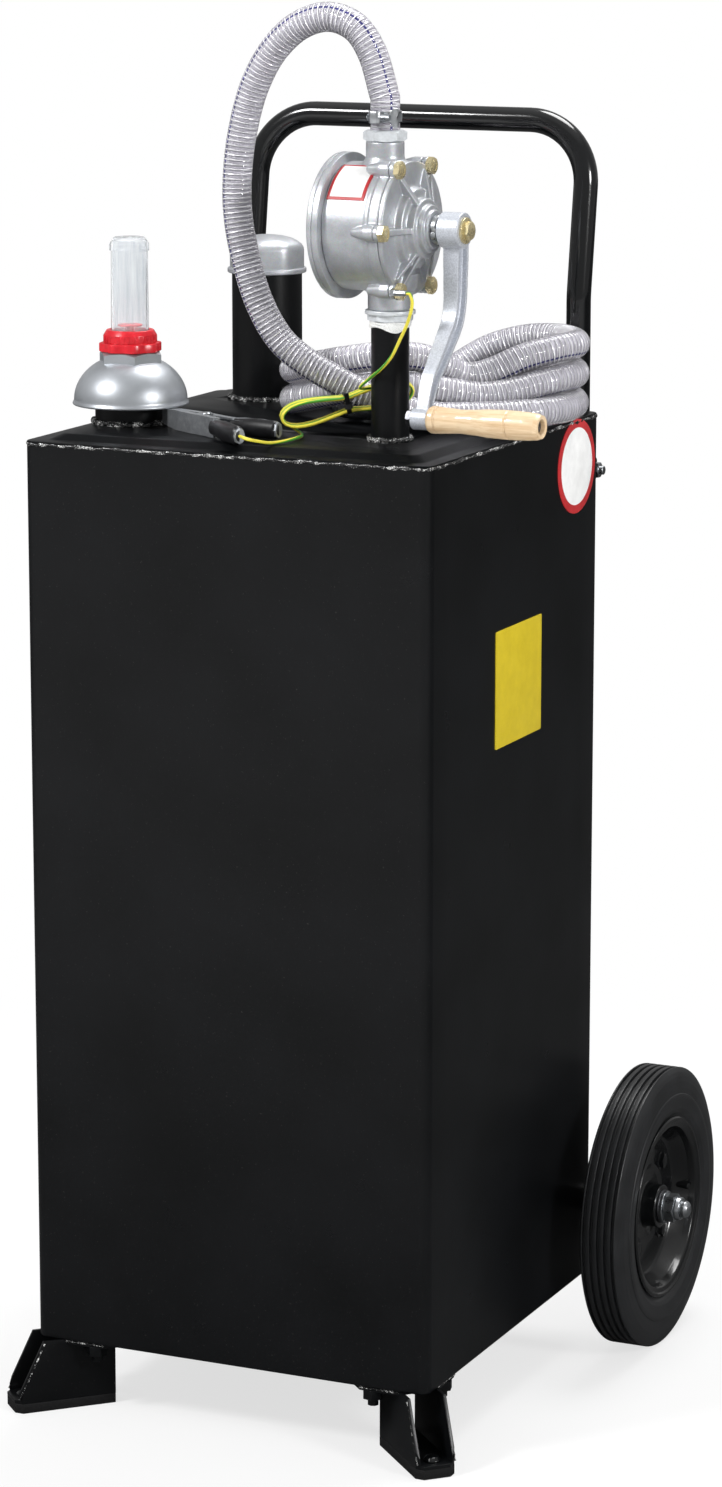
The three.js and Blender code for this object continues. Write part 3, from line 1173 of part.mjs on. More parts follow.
function hoseSet() {
  const coilPoints = coilRoute();
  console.log(`hose coil least gap to itself ${leastGap(coilPoints, hose.radius * 2).toFixed(2)} mm`);
  const coilEnd = coilPoints[coilPoints.length - 1];
  const coilEndInward = coilPoints[coilPoints.length - 2].clone().sub(coilEnd).normalize();
  const coilStart = coilPoints[0];
  const coilHeading = coilPoints[1].clone().sub(coilStart).normalize();
  const leadStart = fromPump(pump.topForward, 0, outlet.hexTop + clearance);
  const up = new THREE.Vector3(0, 0, 1);
  const leadRise = leadStart.clone().addScaledVector(up, hoseRise);
  const leadEnd = coilStart.clone().addScaledVector(coilHeading, -clearance);
  const nearEnd = leadEnd.clone().addScaledVector(coilHeading, -hose.radius);
  const inner = smoothRoute([leadRise, ...vectors(hose.lead), nearEnd], hose.leadSteps);
  const lead = tube([leadStart, ...inner, leadEnd], hose.radius, hose.sides);
  const coiled = tube(coilPoints, hose.radius, hose.sides);
  return [
    mesh("hose_lead", cut(lead, hoseEndBore(leadStart, up)), finishes.clearHose),
    mesh("hose_coil", cut(coiled, hoseEndBore(coilEnd, coilEndInward)), finishes.clearHose),
    mesh("discharge_spout", dischargeSpout(coilEnd, coilEndInward.clone().negate()), finishes.zincSteel),
  ];
}

// Bent steel spout: a barb inside the hose, a collar against its end, and the bent pipe.
function dischargeSpout(end, outward) {
  const at = (distance) => end.clone().addScaledVector(outward, distance);
  const barb = tube([at(-spout.barbLength), at(spout.collarLength)], spout.barb, spout.sides);
  const collar = tube([at(clearance), at(clearance + spout.collarLength)], spout.collar, spout.sides);
  const bend = smoothRoute([at(clearance + spout.collarLength * 2), ...vectors(spout.route)], spout.steps);
  const pipe = tube([at(clearance), ...bend], spout.radius, spout.sides);
  const through = tube([at(-spout.barbLength * 2), at(clearance), ...bend, lastStep(bend)], spout.bore,
    spout.boreSides);
  return cut(join(barb, collar, pipe), through);
}

function lastStep(points) {
  const end = points[points.length - 1];
  return end.clone().multiplyScalar(2).sub(points[points.length - 2]);
}

// Hank of earth wire: a flat loop drawn in at its tie, laid beside itself once for each turn.
function hankPoint(angle) {
  const along = new THREE.Vector3(...hank.along).normalize();
  const aside = new THREE.Vector3(along.y, -along.x, 0).normalize();
  const upward = new THREE.Vector3().crossVectors(aside, along);
  const turns = angle / fullDegrees;
  const theta = angle * radian;
  const waist = hank.waistShare + (1 - hank.waistShare) * Math.abs(Math.cos(theta)) ** hank.waistPower;
  const point = new THREE.Vector3(...hank.centre);
  point.addScaledVector(along, hank.halfLength * Math.cos(theta));
  point.addScaledVector(upward, hank.halfHeight * Math.sin(theta) * waist);
  return point.addScaledVector(aside, hank.spacing * (hank.loops / 2 - turns));
}

function hankRoute(handleEnd, handleOutward) {
  const points = [];
  const last = hank.exit + fullDegrees * hank.loops;
  for (let angle = hank.start; angle <= last; angle += fullDegrees / hank.loopSteps) {
    points.push(hankPoint(angle));
  }
  const diameter = wire.radius * 2;
  const meeting = handleEnd.clone().addScaledVector(handleOutward, clearance);
  const straight = meeting.clone().addScaledVector(handleOutward, diameter);
  const tail = smoothRoute([points[points.length - 1], ...vectors(hank.tail), straight],
    hank.tail.length * 2);
  return [...points, ...tail.slice(1), meeting];
}

function wireSet(handleEnd, handleOutward) {
  const hankPoints = hankRoute(handleEnd, handleOutward);
  console.log(`wire hank least gap to itself ${leastGap(hankPoints, wire.radius * 2).toFixed(2)} mm`);
  const centre = lugCentre();
  const forward = fromPump(1, 0, 0).sub(fromPump(0, 0, 0));
  const aside = lugTag.tongueReach - lugTag.bend;
  const crimp = fromPump(lugTag.barrelEnd + clearance, centre[1] - aside, centre[2]);
  const crimpOut = crimp.clone().addScaledVector(forward, wire.radius * 2);
  const heading = hankPoints[1].clone().sub(hankPoints[0]).normalize();
  const meeting = hankPoints[0].clone().addScaledVector(heading, -clearance);
  const straight = meeting.clone().addScaledVector(heading, -wire.radius * 2);
  const inner = smoothRoute([crimpOut, ...vectors(wire.lead), straight], wire.leadSteps);
  return [
    mesh("ground_lead", tube([crimp, ...inner, meeting], wire.radius, wire.sides), finishes.wireJacket),
    mesh("ground_hank", tube(hankPoints, wire.radius, wire.sides), finishes.wireJacket),
  ];
}

// Folded half of the clamp, lying on its side: channel, teeth and pivot tab, then the sleeve.
function clampHalf(side, height, sleeveRows) {
  const bottom = -height / 2;
  const top = height / 2;
  const scaled = ([along, across]) => [clamp.reach * along, clamp.spread * across];
  const outer = clamp.outerShares.map(scaled);
  const split = [[-clamp.reach * clamp.splitShare, clamp.splitHalf], [-clamp.reach, clamp.splitHalf]];
  const outline = [...outer, ...clamp.innerShares.map(scaled), ...split];
  const pocketEnd = outer[outer.length - 1][0];
  const pocket = [[-clamp.reach, -clamp.pivotRadius * 2], [pocketEnd, -clamp.pivotRadius * 2],
    ...outer.map(([along, across]) => [along, across - clamp.sheet]).reverse()];
  const tab = rod(clamp.pivotRadius, bottom, top, clamp.steps);
  const bridge = block(-clamp.pivotRadius, clamp.pivotRadius, 0,
    clamp.spread * clamp.bridgeShare + clamp.sheet, bottom, top);
  const teeth = [];
  for (let index = 0; index < clamp.teeth; index++) {
    const start = clamp.toothPitch * (index + 0.5) - clamp.reach;
    const notch = [[start + clamp.toothPitch, 0], [start + clamp.toothPitch / 2, clamp.toothDepth],
      [start, 0]];
    teeth.push(slab(notch, bottom * 2, top * 2));
  }
  const channel = cut(join(slab(outline.reverse(), bottom, top), tab, bridge),
    slab(pocket, bottom + clamp.sheet, top - clamp.sheet), ...teeth, jawTaper(1), jawTaper(-1));
  const solid = join(channel, clampSleeve(sleeveRows));
  return side > 0 ? solid : solid.mirror([0, 1, 0]);
}

// Wedge that takes the jaw's height down towards its tip, above or below.
function jawTaper(side) {
  const past = -clamp.reach - clamp.toothPitch;
  const outline = [[-clamp.reach * clamp.taperShare, clamp.height / 2], [past, clamp.height],
    [past, clamp.tipHalf]];
  const wedge = slab(outline, -clamp.height, clamp.height).rotateX(quarterTurn);
  return side > 0 ? solidOf(wedge) : solidOf(wedge).mirror([0, 0, 1]);
}

// Centre line of a handle's sleeve, which ends at the given reach.
function sleeveRoute(reach) {
  const last = clamp.sleeveShares.length - 1;
  return clamp.sleeveShares.map(([along, across], index) =>
    [index < last ? clamp.handleReach * along : reach, clamp.handleSpread * across, 0]);
}

function clampSleeve(rows) {
  const path = smoothLine(vectors(rows));
  const rings = clamp.sleeveSizeShares.map(([wide, high], index) => {
    const share = index / (rows.length - 1);
    const centre = path.getPoint(share);
    const tangent = path.getTangent(share);
    const aside = new THREE.Vector3(-tangent.y, tangent.x, 0);
    const points = [];
    for (let step = 0; step < clamp.sleeveSides; step++) {
      const angle = fullTurn * step / clamp.sleeveSides;
      const point = centre.clone().addScaledVector(aside, clamp.sleeveWidth / 2 * wide * Math.cos(angle));
      points.push(point.setZ(clamp.sleeveHeight / 2 * high * Math.sin(angle)));
    }
    return points;
  });
  return loft(rings);
}

function clampSet() {
  const group = new THREE.Group();
  group.position.set(clamp.x, clamp.y, platform + clearance + clamp.height / 2);
  group.rotation.z = clamp.heading * radian;
  const pin = rod(clamp.pin, -clamp.height / 2, clamp.height / 2, clamp.steps);
  const pinHole = rod(clamp.pinHole, -clamp.height, clamp.height, clamp.steps);
  const slot = block(-clamp.pivotRadius * 2, clamp.pivotRadius * 2, -clamp.pivotRadius * 2,
    clamp.pivotRadius * 2, -clamp.innerHeight / 2 - clearance, clamp.innerHeight / 2 + clearance);
  const near = clampHalf(-1, clamp.height, sleeveRoute(clamp.handleReach));
  const far = clampHalf(1, clamp.innerHeight, sleeveRoute(clamp.farReach));
  group.add(
    mesh("clamp_jaw_near", join(cut(near, common(slot, pinHole)), pin), finishes.clampSteel),
    mesh("clamp_jaw_far", cut(far, pinHole), finishes.clampSteel),
  );
  return group;
}

// End of the near handle and its outward direction, in the tank's frame.
function clampHandleEnd() {
  const up = new THREE.Vector3(0, 0, 1);
  const near = sleeveRoute(clamp.handleReach).map(([along, across]) => [along, -across, 0]);
  const path = smoothLine(vectors(near));
  const outward = path.getTangent(1).applyAxisAngle(up, clamp.heading * radian);
  const end = path.getPoint(1).applyAxisAngle(up, clamp.heading * radian);
  end.add(new THREE.Vector3(clamp.x, clamp.y, platform + clearance + clamp.height / 2));
  return { end, outward };
}

// Distance from the tank's front face to the frontmost corner of the pads and to the rear of the tyres.
const frontReach = foot.centre - (foot.tip + foot.width / 2 - foot.padChamfer) / Math.SQRT2;
const rearReach = axleBack + tyre.radius;

const caddy = new THREE.Group();
caddy.position.set(0, -(frontReach + rearReach) / 2, groundClearance);
const handleEnd = clampHandleEnd();
caddy.add(
  mesh("tank_shell", tankShell(), finishes.blackPaint),
  mesh("tank_top", tankTop(), finishes.blackPaint),
  mesh("tank_bottom", tankBottom(), finishes.blackPaint),
  mesh("gauge_neck", weldedPipe(neck), finishes.blackPaint),
  mesh("filler_pipe", weldedPipe(filler), finishes.blackPaint),
  mesh("riser_pipe", weldedPipe(riser), finishes.blackPaint),
  mesh("suction_tube", suctionTube(), finishes.zincSteel),
  mesh("riser_union", riserUnion(), finishes.paleFitting),
  mesh("filler_cap", fillerCap(), finishes.silverPaint),
  mesh("handle_frame", handleFrame(), finishes.blackTube),
  ...hoseSet(),
  ...wireSet(handleEnd.end, handleEnd.outward),
  gaugeSet(),
  pumpSet(),
  clampSet(),
);
const axleMesh = mesh("axle", axleRod(), finishes.zincSteel);
axleMesh.position.set(0, axleBack, axle.height);
caddy.add(axleMesh);
for (const [side, name] of [[-1, "left"], [1, "right"]]) {
  caddy.add(
    mesh(`handle_bracket_${name}`, handleBracket(side), finishes.blackPaint),
    mesh(`handle_bolt_${name}`, handleBoltSolid(side), finishes.zincSteel),
    wheelSet(side, name),
    footSet(side, name),
  );
}

export default caddy;
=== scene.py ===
import bmesh
import bpy
import math
from functools import partial
from mathutils import Matrix, Vector


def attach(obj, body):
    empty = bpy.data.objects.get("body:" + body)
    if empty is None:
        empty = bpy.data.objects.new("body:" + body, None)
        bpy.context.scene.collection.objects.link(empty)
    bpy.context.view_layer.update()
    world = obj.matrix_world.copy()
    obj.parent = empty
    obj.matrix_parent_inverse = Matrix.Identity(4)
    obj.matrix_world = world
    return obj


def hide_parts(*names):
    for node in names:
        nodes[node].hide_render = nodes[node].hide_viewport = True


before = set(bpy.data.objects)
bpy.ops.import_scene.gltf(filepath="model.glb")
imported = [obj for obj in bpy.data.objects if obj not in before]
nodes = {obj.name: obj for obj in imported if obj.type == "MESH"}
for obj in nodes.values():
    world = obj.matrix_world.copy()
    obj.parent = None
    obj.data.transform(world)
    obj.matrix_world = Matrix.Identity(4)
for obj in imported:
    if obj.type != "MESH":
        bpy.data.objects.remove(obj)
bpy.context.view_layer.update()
scene = bpy.context.scene
scene.view_settings.view_transform = "Standard"
print("frame loaded:", len(nodes), "nodes")

# Sizes are in millimetres in the tank's own frame: x to the right, y back from its front wall, z up from its floor.
origin = {"frontWall": -248.9893372, "floor": 65}
tankPlace = Matrix.Scale(0.001, 4) @ Matrix.Translation((0, origin["frontWall"], origin["floor"]))
upright, quarter, fullTurn, up = Matrix(), math.pi / 2, 2 * math.pi, Vector((0, 0, 1))

camera = {"place": (1.6369, -3.5684, 1.3945), "pitch": 78.19, "turn": 24.45, "lens": 107.8, "sensor": 36}
eye = bpy.data.objects.new("eye", bpy.data.cameras.new("eye"))
eye.data.lens, eye.data.sensor_width = camera["lens"], camera["sensor"]
eye.location = camera["place"]
eye.rotation_euler = (math.radians(camera["pitch"]), 0, math.radians(camera["turn"]))
scene.collection.objects.link(eye)
scene.camera = eye


def linear(hexText, alpha=1.0):  # sRGB hex to the linear colour that a socket takes
    parts = [int(hexText[i:i + 2], 16) / 255 for i in (0, 2, 4)]
    return tuple(c / 12.92 if c <= 0.04045 else ((c + 0.055) / 1.055) ** 2.4 for c in parts) + (alpha,)


def addNode(tree, kind, settings={}, inputs={}, out=0):  # one node with its settings, values and links; gives an output
    node = tree.nodes.new(kind if "Node" in kind else "ShaderNode" + kind)
    if isinstance(settings, str):  # a plain word is the node's operation
        settings = {"operation": settings}
    for key, value in settings.items():
        if key == "stops":
            ramp = node.color_ramp
            while len(ramp.elements) < len(value):
                ramp.elements.new(0.5)
            for element, (place, tint) in zip(ramp.elements, value):
                element.position, element.color = place, linear(tint)
        else:
            setattr(node, key, value)
    for key, value in inputs.items():
        if isinstance(value, bpy.types.NodeSocket):
            tree.links.new(value, node.inputs[key])
        else:
            node.inputs[key].default_value = value
    return node.outputs if out is None else node.outputs[out]


def shift(x, y, z=0):
    return Matrix.Translation((x, y, z))


def spin(angle, axis="Z"):
    return Matrix.Rotation(angle, 4, axis)


toRight = spin(quarter, "Y")  # local z runs to the right


def turns(count):  # angles evenly round a circle
    return [fullTurn * i / count for i in range(count)]


def polar(radius, angle, z=0.0):
    return Vector((radius * math.cos(angle), radius * math.sin(angle), z))


def fillet(points, radius, steps=3, closed=False):  # rounds an outline's corners; a point may carry its own radius
    rounded, count = [], len(points)
    for index, point in enumerate(points):
        here = Vector(point[:2])
        size = point[2] if len(point) > 2 else radius
        toBefore = Vector(points[index - 1][:2]) - here
        toAfter = Vector(points[(index + 1) % count][:2]) - here
        reach = 0
        if (closed or 0 < index < count - 1) and size > 0 and min(toBefore.length, toAfter.length) >= 1e-6:
            turn = toBefore.angle(toAfter)
            if 0.02 < turn <= 3.12:
                reach = min(size / math.tan(turn / 2), toBefore.length * 0.49, toAfter.length * 0.49)
        if reach < 1e-4:
            rounded.append(tuple(here))
            continue
        start, end = here + toBefore.normalized() * reach, here + toAfter.normalized() * reach
        for step in range(steps + 1):
            share = step / steps
            rounded.append(tuple(start * (1 - share) ** 2 + here * 2 * share * (1 - share) + end * share ** 2))
    return rounded


def loft(bm, rings, caps=True, looped=False):  # skin over rings of equal count; a ring of one point is a pole
    rows = [[bm.verts.new(point) for point in ring] for ring in rings]
    for low, high in zip(rows, rows[1:] + (rows[:1] if looped else [])):
        count = max(len(low), len(high))
        for i in range(count):
            j = (i + 1) % count
            corners = [low[i % len(low)], low[j % len(low)], high[j % len(high)], high[i % len(high)]]
            unique = list(dict.fromkeys(corners))
            if len(unique) > 2:
                bm.faces.new(unique)
    if caps and not looped:
        for row in (rows[0], rows[-1]):
            if len(row) > 2:
                bm.faces.new(row)
    return rows


def lathe(bm, profile, steps=64, place=upright):  # (radius, height) points turned about z
    closed = (Vector(profile[0]) - Vector(profile[-1])).length < 1e-6
    rings = []
    for radius, height in profile[:-1] if closed else profile:
        around = turns(steps) if radius >= 1e-6 else [0]
        rings.append([place @ polar(radius if len(around) > 1 else 0, a, height) for a in around])
    loft(bm, rings, caps=not closed, looped=closed)


def prism(bm, outline, bottom, top, edge=0.0, place=upright):  # an outline raised into a plate, its rims bevelled
    verts = [[bm.verts.new(place @ Vector((x, y, z))) for x, y in outline] for z in (bottom, top)]
    count = len(outline)
    faces = [bm.faces.new([verts[0][i], verts[0][(i + 1) % count], verts[1][(i + 1) % count], verts[1][i]])
             for i in range(count)]
    ends = [bm.faces.new(verts[0]), bm.faces.new(verts[1])]
    bmesh.ops.recalc_face_normals(bm, faces=faces + ends)
    if edge > 0:
        rims = list({e for f in ends for e in f.edges})
        bmesh.ops.bevel(bm, geom=rims, offset=edge, segments=2, profile=0.5, affect="EDGES", clamp_overlap=True)


def hexHead(bm, flats, bottom, top, place=upright, domed=False, bothEnds=False, sides=6):  # its corners coned off
    half, part = flats / 2, math.pi / sides
    shape = [(a, half / math.cos((a + part) % (part * 2) - part)) for a in turns(sides * 10)]
    drop = lambda radius: max(0.0, radius - half * 0.98) * 0.6
    rings = [[polar(half * 0.96, a, bottom) for a, r in shape]] if bothEnds else []
    rings.append([polar(r, a, bottom + (drop(r) if bothEnds else 0)) for a, r in shape])
    rings.append([polar(r, a, top - drop(r)) for a, r in shape])
    rings.append([polar(half * 0.96, a, top) for a, r in shape])
    if domed:
        rings.append([polar(half * 0.5, a, top + half * 0.1) for a, r in shape])
    loft(bm, [[place @ p for p in ring] for ring in rings])


def routeFrames(points, side=None):  # direction and two sideways axes at each point, carried along without twist
    axes, aside = [], side
    for i in range(len(points)):
        ahead = (points[min(i + 1, len(points) - 1)] - points[max(i - 1, 0)]).normalized()
        aside = ahead.orthogonal().normalized() if aside is None else aside
        aside = (aside - ahead * aside.dot(ahead)).normalized()
        axes.append((ahead, aside, ahead.cross(aside)))
    return axes


def ringRound(centre, axes, size, sides):
    return [centre + (axes[1] * math.cos(a) + axes[2] * math.sin(a)) * size for a in turns(sides)]


def sweep(bm, points, radius, sides, bore=0.0, boreDepth=0.0, side=None):  # a tube; uv: metres along, turns round
    axes, rings, marks, run = routeFrames(points, side), [], [], 0.0
    for i, point in enumerate(points):
        run += (point - points[i - 1]).length if i else 0.0
        rings.append(ringRound(point, axes[i], radius[i] if isinstance(radius, list) else radius, sides))
        marks.append(run / 1000)
    if bore:
        for where, axis, sign, front in ((points[0], axes[0], 1, True), (points[-1], axes[-1], -1, False)):
            for depth in (0, boreDepth):
                ring = ringRound(where + axis[0] * sign * depth, axis, bore, sides)
                rings.insert(0, ring) if front else rings.append(ring)
                marks.insert(0, marks[0]) if front else marks.append(marks[-1])
    layer = bm.loops.layers.uv.verify()
    rows = loft(bm, rings)
    index = {v: (i, k) for i, row in enumerate(rows) for k, v in enumerate(row)}
    for face in bm.faces:
        spots = [index.get(loop.vert) for loop in face.loops]
        if None in spots:
            continue
        wraps = {0, sides - 1} <= {spot[1] for spot in spots}
        for loop, (i, k) in zip(face.loops, spots):
            loop[layer].uv = (marks[i], 1.0 if wraps and k == 0 else k / sides)


def smoothRoute(points, steps):  # evenly spaced points on a smooth line through these
    points = [Vector(p) for p in points]
    last = len(points) - 1

    def at(share):
        index = min(int(last * share), last - 1)
        weight = last * share - index
        p1, p2 = points[index], points[index + 1]
        p0 = points[index - 1] if index else p1 * 2 - p2
        p3 = points[index + 2] if index + 2 <= last else p2 * 2 - p1
        d0, d1, d2 = ((b - a).length ** 0.5 for a, b in ((p0, p1), (p1, p2), (p2, p3)))
        t1 = ((p1 - p0) / d0 - (p2 - p0) / (d0 + d1) + (p2 - p1) / d1) * d1
        t2 = ((p2 - p1) / d1 - (p3 - p1) / (d1 + d2) + (p3 - p2) / d2) * d1
        c2, c3 = p1 * -3 + p2 * 3 - t1 * 2 - t2, p1 * 2 - p2 * 2 + t1 + t2
        return p1 + t1 * weight + c2 * weight ** 2 + c3 * weight ** 3

    fine = [at(i / (last * 24)) for i in range(last * 24 + 1)]
    runs = [0.0]
    for a, b in zip(fine, fine[1:]):
        runs.append(runs[-1] + (b - a).length)
    spaced, k = [], 0
    for step in range(steps + 1):
        goal = runs[-1] * step / steps
        while k < len(runs) - 2 and runs[k + 1] < goal:
            k += 1
        spaced.append(fine[k].lerp(fine[k + 1], (goal - runs[k]) / max(runs[k + 1] - runs[k], 1e-9)))
    return spaced


def routeLength(points):
    return sum((b - a).length for a, b in zip(points, points[1:]))


def meshFrom(bm, name):  # the sketch as a mesh, its faces pointing outwards
    bmesh.ops.recalc_face_normals(bm, faces=bm.faces)
    mesh = bpy.data.meshes.new(name)
    bm.to_mesh(mesh)
    bm.free()
    return mesh


def linkNew(name, mesh):
    thing = bpy.data.objects.new(name, mesh)
    scene.collection.objects.link(thing)
    return thing


def settled(thing):  # its mesh with the modifiers worked in
    bpy.context.view_layer.update()
    return bpy.data.meshes.new_from_object(thing.evaluated_get(bpy.context.evaluated_depsgraph_get()))


def standFor(stands):
    if stands:
        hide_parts(*stands)


def addPiece(name, bm, finish, stands=(), body="caddy", place=upright, sharp=35, merge=0.001,
             later=False):
    if merge:
        bmesh.ops.remove_doubles(bm, verts=bm.verts, dist=merge)
    mesh = meshFrom(bm, name)
    mesh.transform(tankPlace @ place)
    mesh.shade_smooth()
    mesh.set_sharp_from_angle(angle=math.radians(sharp))
    mesh.materials.append(finish)
    piece = linkNew(name, mesh)
    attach(piece, body)
    if not later:
        standFor(stands)
    return piece


softening = {"segments": 2, "profile": 0.6, "sharp": 38, "flat": 1}


def bevelledCopy(name, node, finish, width):  # a CAD node, merged and its edges softened
    bm = bmesh.new()
    bm.from_mesh(nodes[node].data)
    bmesh.ops.remove_doubles(bm, verts=bm.verts, dist=2e-6)
    bmesh.ops.dissolve_limit(bm, angle_limit=math.radians(softening["flat"]), verts=bm.verts, edges=bm.edges)
    edges = [e for e in bm.edges
             if len(e.link_faces) == 2 and e.calc_face_angle(0) > math.radians(softening["sharp"])]
    bmesh.ops.bevel(bm, geom=edges, offset=width / 1000, segments=softening["segments"], profile=softening["profile"],
                    affect="EDGES", clamp_overlap=True)
    bmesh.ops.remove_doubles(bm, verts=bm.verts, dist=1e-6)
    bmesh.ops.triangulate(bm, faces=bm.faces)
    bm.verts.index_update()
    alike = {}
    for face in bm.faces:
        alike.setdefault(frozenset(v.index for v in face.verts), []).append(face)
    folded = [face for same in alike.values() if len(same) > 1 for face in same]
    bmesh.ops.delete(bm, geom=folded, context="FACES")  # slivers folded flat by the bevel
    return addPiece(name, bm, finish, (node,), place=tankPlace.inverted(), sharp=30, merge=0)


def newTree(name, sockets):  # a Geometry Nodes tree with named inputs, and what adds its nodes
    tree = bpy.data.node_groups.new(name, "GeometryNodeTree")
    tree.interface.new_socket("Geometry", in_out="INPUT", socket_type="NodeSocketGeometry")
    for label, (kind, value) in sockets.items():
        socket = tree.interface.new_socket(label, in_out="INPUT", socket_type="NodeSocket" + kind)
        if value is not None:
            socket.default_value = value
    tree.interface.new_socket("Geometry", in_out="OUTPUT", socket_type="NodeSocketGeometry")
    add = partial(addNode, tree)
    return tree, add, add("NodeGroupInput", out=None)


def endTree(add, geometry, material):  # realizes, paints and hands out the tree's result
    solid = add("GeometryNodeRealizeInstances", {}, {"Geometry": geometry})
    coated = add("GeometryNodeSetMaterial", {}, {"Geometry": solid, "Material": material})
    add("NodeGroupOutput", {}, {"Geometry": coated}, None)


def growMesh(tree, values, base=None):  # the tree's result as a plain mesh; its modifier goes with the holder
    holder = linkNew("holder", base or bpy.data.meshes.new("holder"))
    modifier = holder.modifiers.new("grow", "NODES")
    modifier.node_group = tree
    for item in tree.interface.items_tree:
        if item.in_out == "INPUT" and item.name in values:
            modifier[item.identifier] = values[item.name]
    mesh = settled(holder)
    bpy.data.objects.remove(holder)
    return mesh


# Pieces set round a circle, each one turned to face outward, with a seeded change of size and place.
ringTree, add, given = newTree("piecesRoundACircle", {
    "Piece": ("Object", None), "Count": ("Int", 6), "Radius": ("Float", 50.0), "Start": ("Float", 0.0),
    "Least Size": ("Float", 1.0), "Most Size": ("Float", 1.0), "Wander": ("Float", 0.0), "Seed": ("Int", 1),
    "Material": ("Material", None)})
share = add("Math", "DIVIDE", {0: add("GeometryNodeInputIndex"), 1: given["Count"]})
angle = add("Math", "MULTIPLY_ADD", {0: share, 1: fullTurn, 2: given["Start"]})
sine = add("Math", "SINE", {0: angle})
cosine = add("Math", "COSINE", {0: angle})
backward = add("Math", "MULTIPLY", {0: sine, 1: -1.0})
outward = add("CombineXYZ", {}, {0: backward, 1: cosine})
spot = add("VectorMath", "SCALE", {0: outward, "Scale": given["Radius"]})
shake = add("FunctionNodeRandomValue", {"data_type": "FLOAT_VECTOR"},
            {0: (-1, -1, -1), 1: (1, 1, 1), "Seed": given["Seed"]})
stray = add("VectorMath", "SCALE", {0: shake, "Scale": given["Wander"]})
spotted = add("VectorMath", "ADD", {0: spot, 1: stray})
ringPoints = add("GeometryNodePoints", {}, {"Count": given["Count"], "Position": spotted})
size = add("FunctionNodeRandomValue", {"data_type": "FLOAT"},
           {2: given["Least Size"], 3: given["Most Size"], "Seed": given["Seed"]}, 1)
facing = add("CombineXYZ", {}, {2: angle})
single = add("GeometryNodeObjectInfo", {}, {"Object": given["Piece"]}, "Geometry")
placed = add("GeometryNodeInstanceOnPoints", {},
             {"Points": ringPoints, "Instance": single, "Rotation": facing, "Scale": size})
endTree(add, placed, given["Material"])


def ringOf(make, count, radius, start=0.0, sizes=(1, 1), wander=0.0, seed=1, finish=None):  # make(bm): one, outward +y
    bm = bmesh.new()
    make(bm)
    source = linkNew("single", meshFrom(bm, "single"))
    grown = growMesh(ringTree, {"Piece": source, "Count": count, "Radius": radius, "Start": math.radians(start),
                                "Least Size": float(sizes[0]), "Most Size": float(sizes[1]), "Wander": wander,
                                "Seed": seed, "Material": finish})
    bpy.data.objects.remove(source)
    return grown


def addMesh(bm, mesh, place=upright):  # joins a grown mesh into a piece
    mesh.transform(place)
    bm.from_mesh(mesh)
    bpy.data.meshes.remove(mesh)


def newFinish(name, slotName, **sockets):  # a material, what adds its nodes, its shader and its object coordinates
    finish = bpy.data.materials.new(name)
    finish.use_nodes = True
    shader = finish.node_tree.nodes["Principled BSDF"]
    for key, value in sockets.items():
        shader.inputs[key.replace("_", " ")].default_value = value
    add = partial(addNode, finish.node_tree)
    return finish, add, shader, add("TexCoord", out="Object")


def feed(shader, **sockets):  # links what the nodes give into the shader
    for key, value in sockets.items():
        shader.id_data.links.new(value, shader.inputs[key.replace("_", " ")])


def lumps(size, detail=2.0, rough=0.5):  # settings of a noise whose lumps are about this many millimetres wide
    return {"Scale": 1000 / size, "Detail": detail, "Roughness": rough}


def clouded(name, slotName, cloud, stops, dull=None, bump=None, texture=None, **sockets):
    finish, add, shader, place = newFinish(name, slotName, **sockets)
    clouds = add("TexNoise", {}, {"Vector": place, **cloud})  # gives both the tone and the gloss
    feed(shader, Base_Color=add("ValToRGB", {"stops": stops}, {0: clouds}))
    if dull:
        feed(shader, Roughness=add("MapRange", {}, {0: clouds, 3: dull[0], 4: dull[1]}))
    if bump:  # strength and depth in metres, on a texture of its own or else on the clouds
        rough = add("TexNoise", {}, {"Vector": place, **texture}) if texture else clouds
        feed(shader, Normal=add("Bump", {}, {"Strength": bump[0], "Distance": bump[1], "Height": rough}))
    return finish


# Gloss black powder coat on welded sheet: deep black with soft-edged reflections, an orange peel about 2.5 mm across
# and faint dust.
powderCoat, add, shader, place = newFinish("blackPowderCoat", "black_powder_coat", Specular_IOR_Level=0.2)
cloud = add("TexNoise", {}, {"Vector": place, **lumps(110, 5.0)})
tone = add("ValToRGB", {"stops": [(0.3, "090a0b"), (0.75, "101113")]}, {0: cloud})
speck = add("TexNoise", {}, {"Vector": place, **lumps(1.6, 2.0, 0.7)})
dust = add("MapRange", {}, {0: speck, 1: 0.69, 2: 0.76, 3: 0.0, 4: 0.35})
dusty = add("Mix", {"data_type": "RGBA"}, {0: dust, 6: tone, 7: linear("5d5c58")}, 2)
blotch = add("TexNoise", {}, {"Vector": place, **lumps(45, 3.0)})
dull = add("MapRange", {}, {0: blotch, 3: 0.24, 4: 0.36})
peel = add("TexNoise", {}, {"Vector": place, **lumps(2.5, 1.0)})
waves = add("Bump", {}, {"Strength": 0.6, "Distance": 0.00006, "Height": peel})
feed(shader, Base_Color=dusty, Roughness=dull, Normal=waves)

# The lid wears the same coat, less glossy, so that it stays black when seen almost edge-on.
lidCoat = powderCoat.copy()
lidCoat.name = "blackPowderCoatOnLid"
lidCoat.node_tree.nodes["Principled BSDF"].inputs["Specular IOR Level"].default_value = 0.05

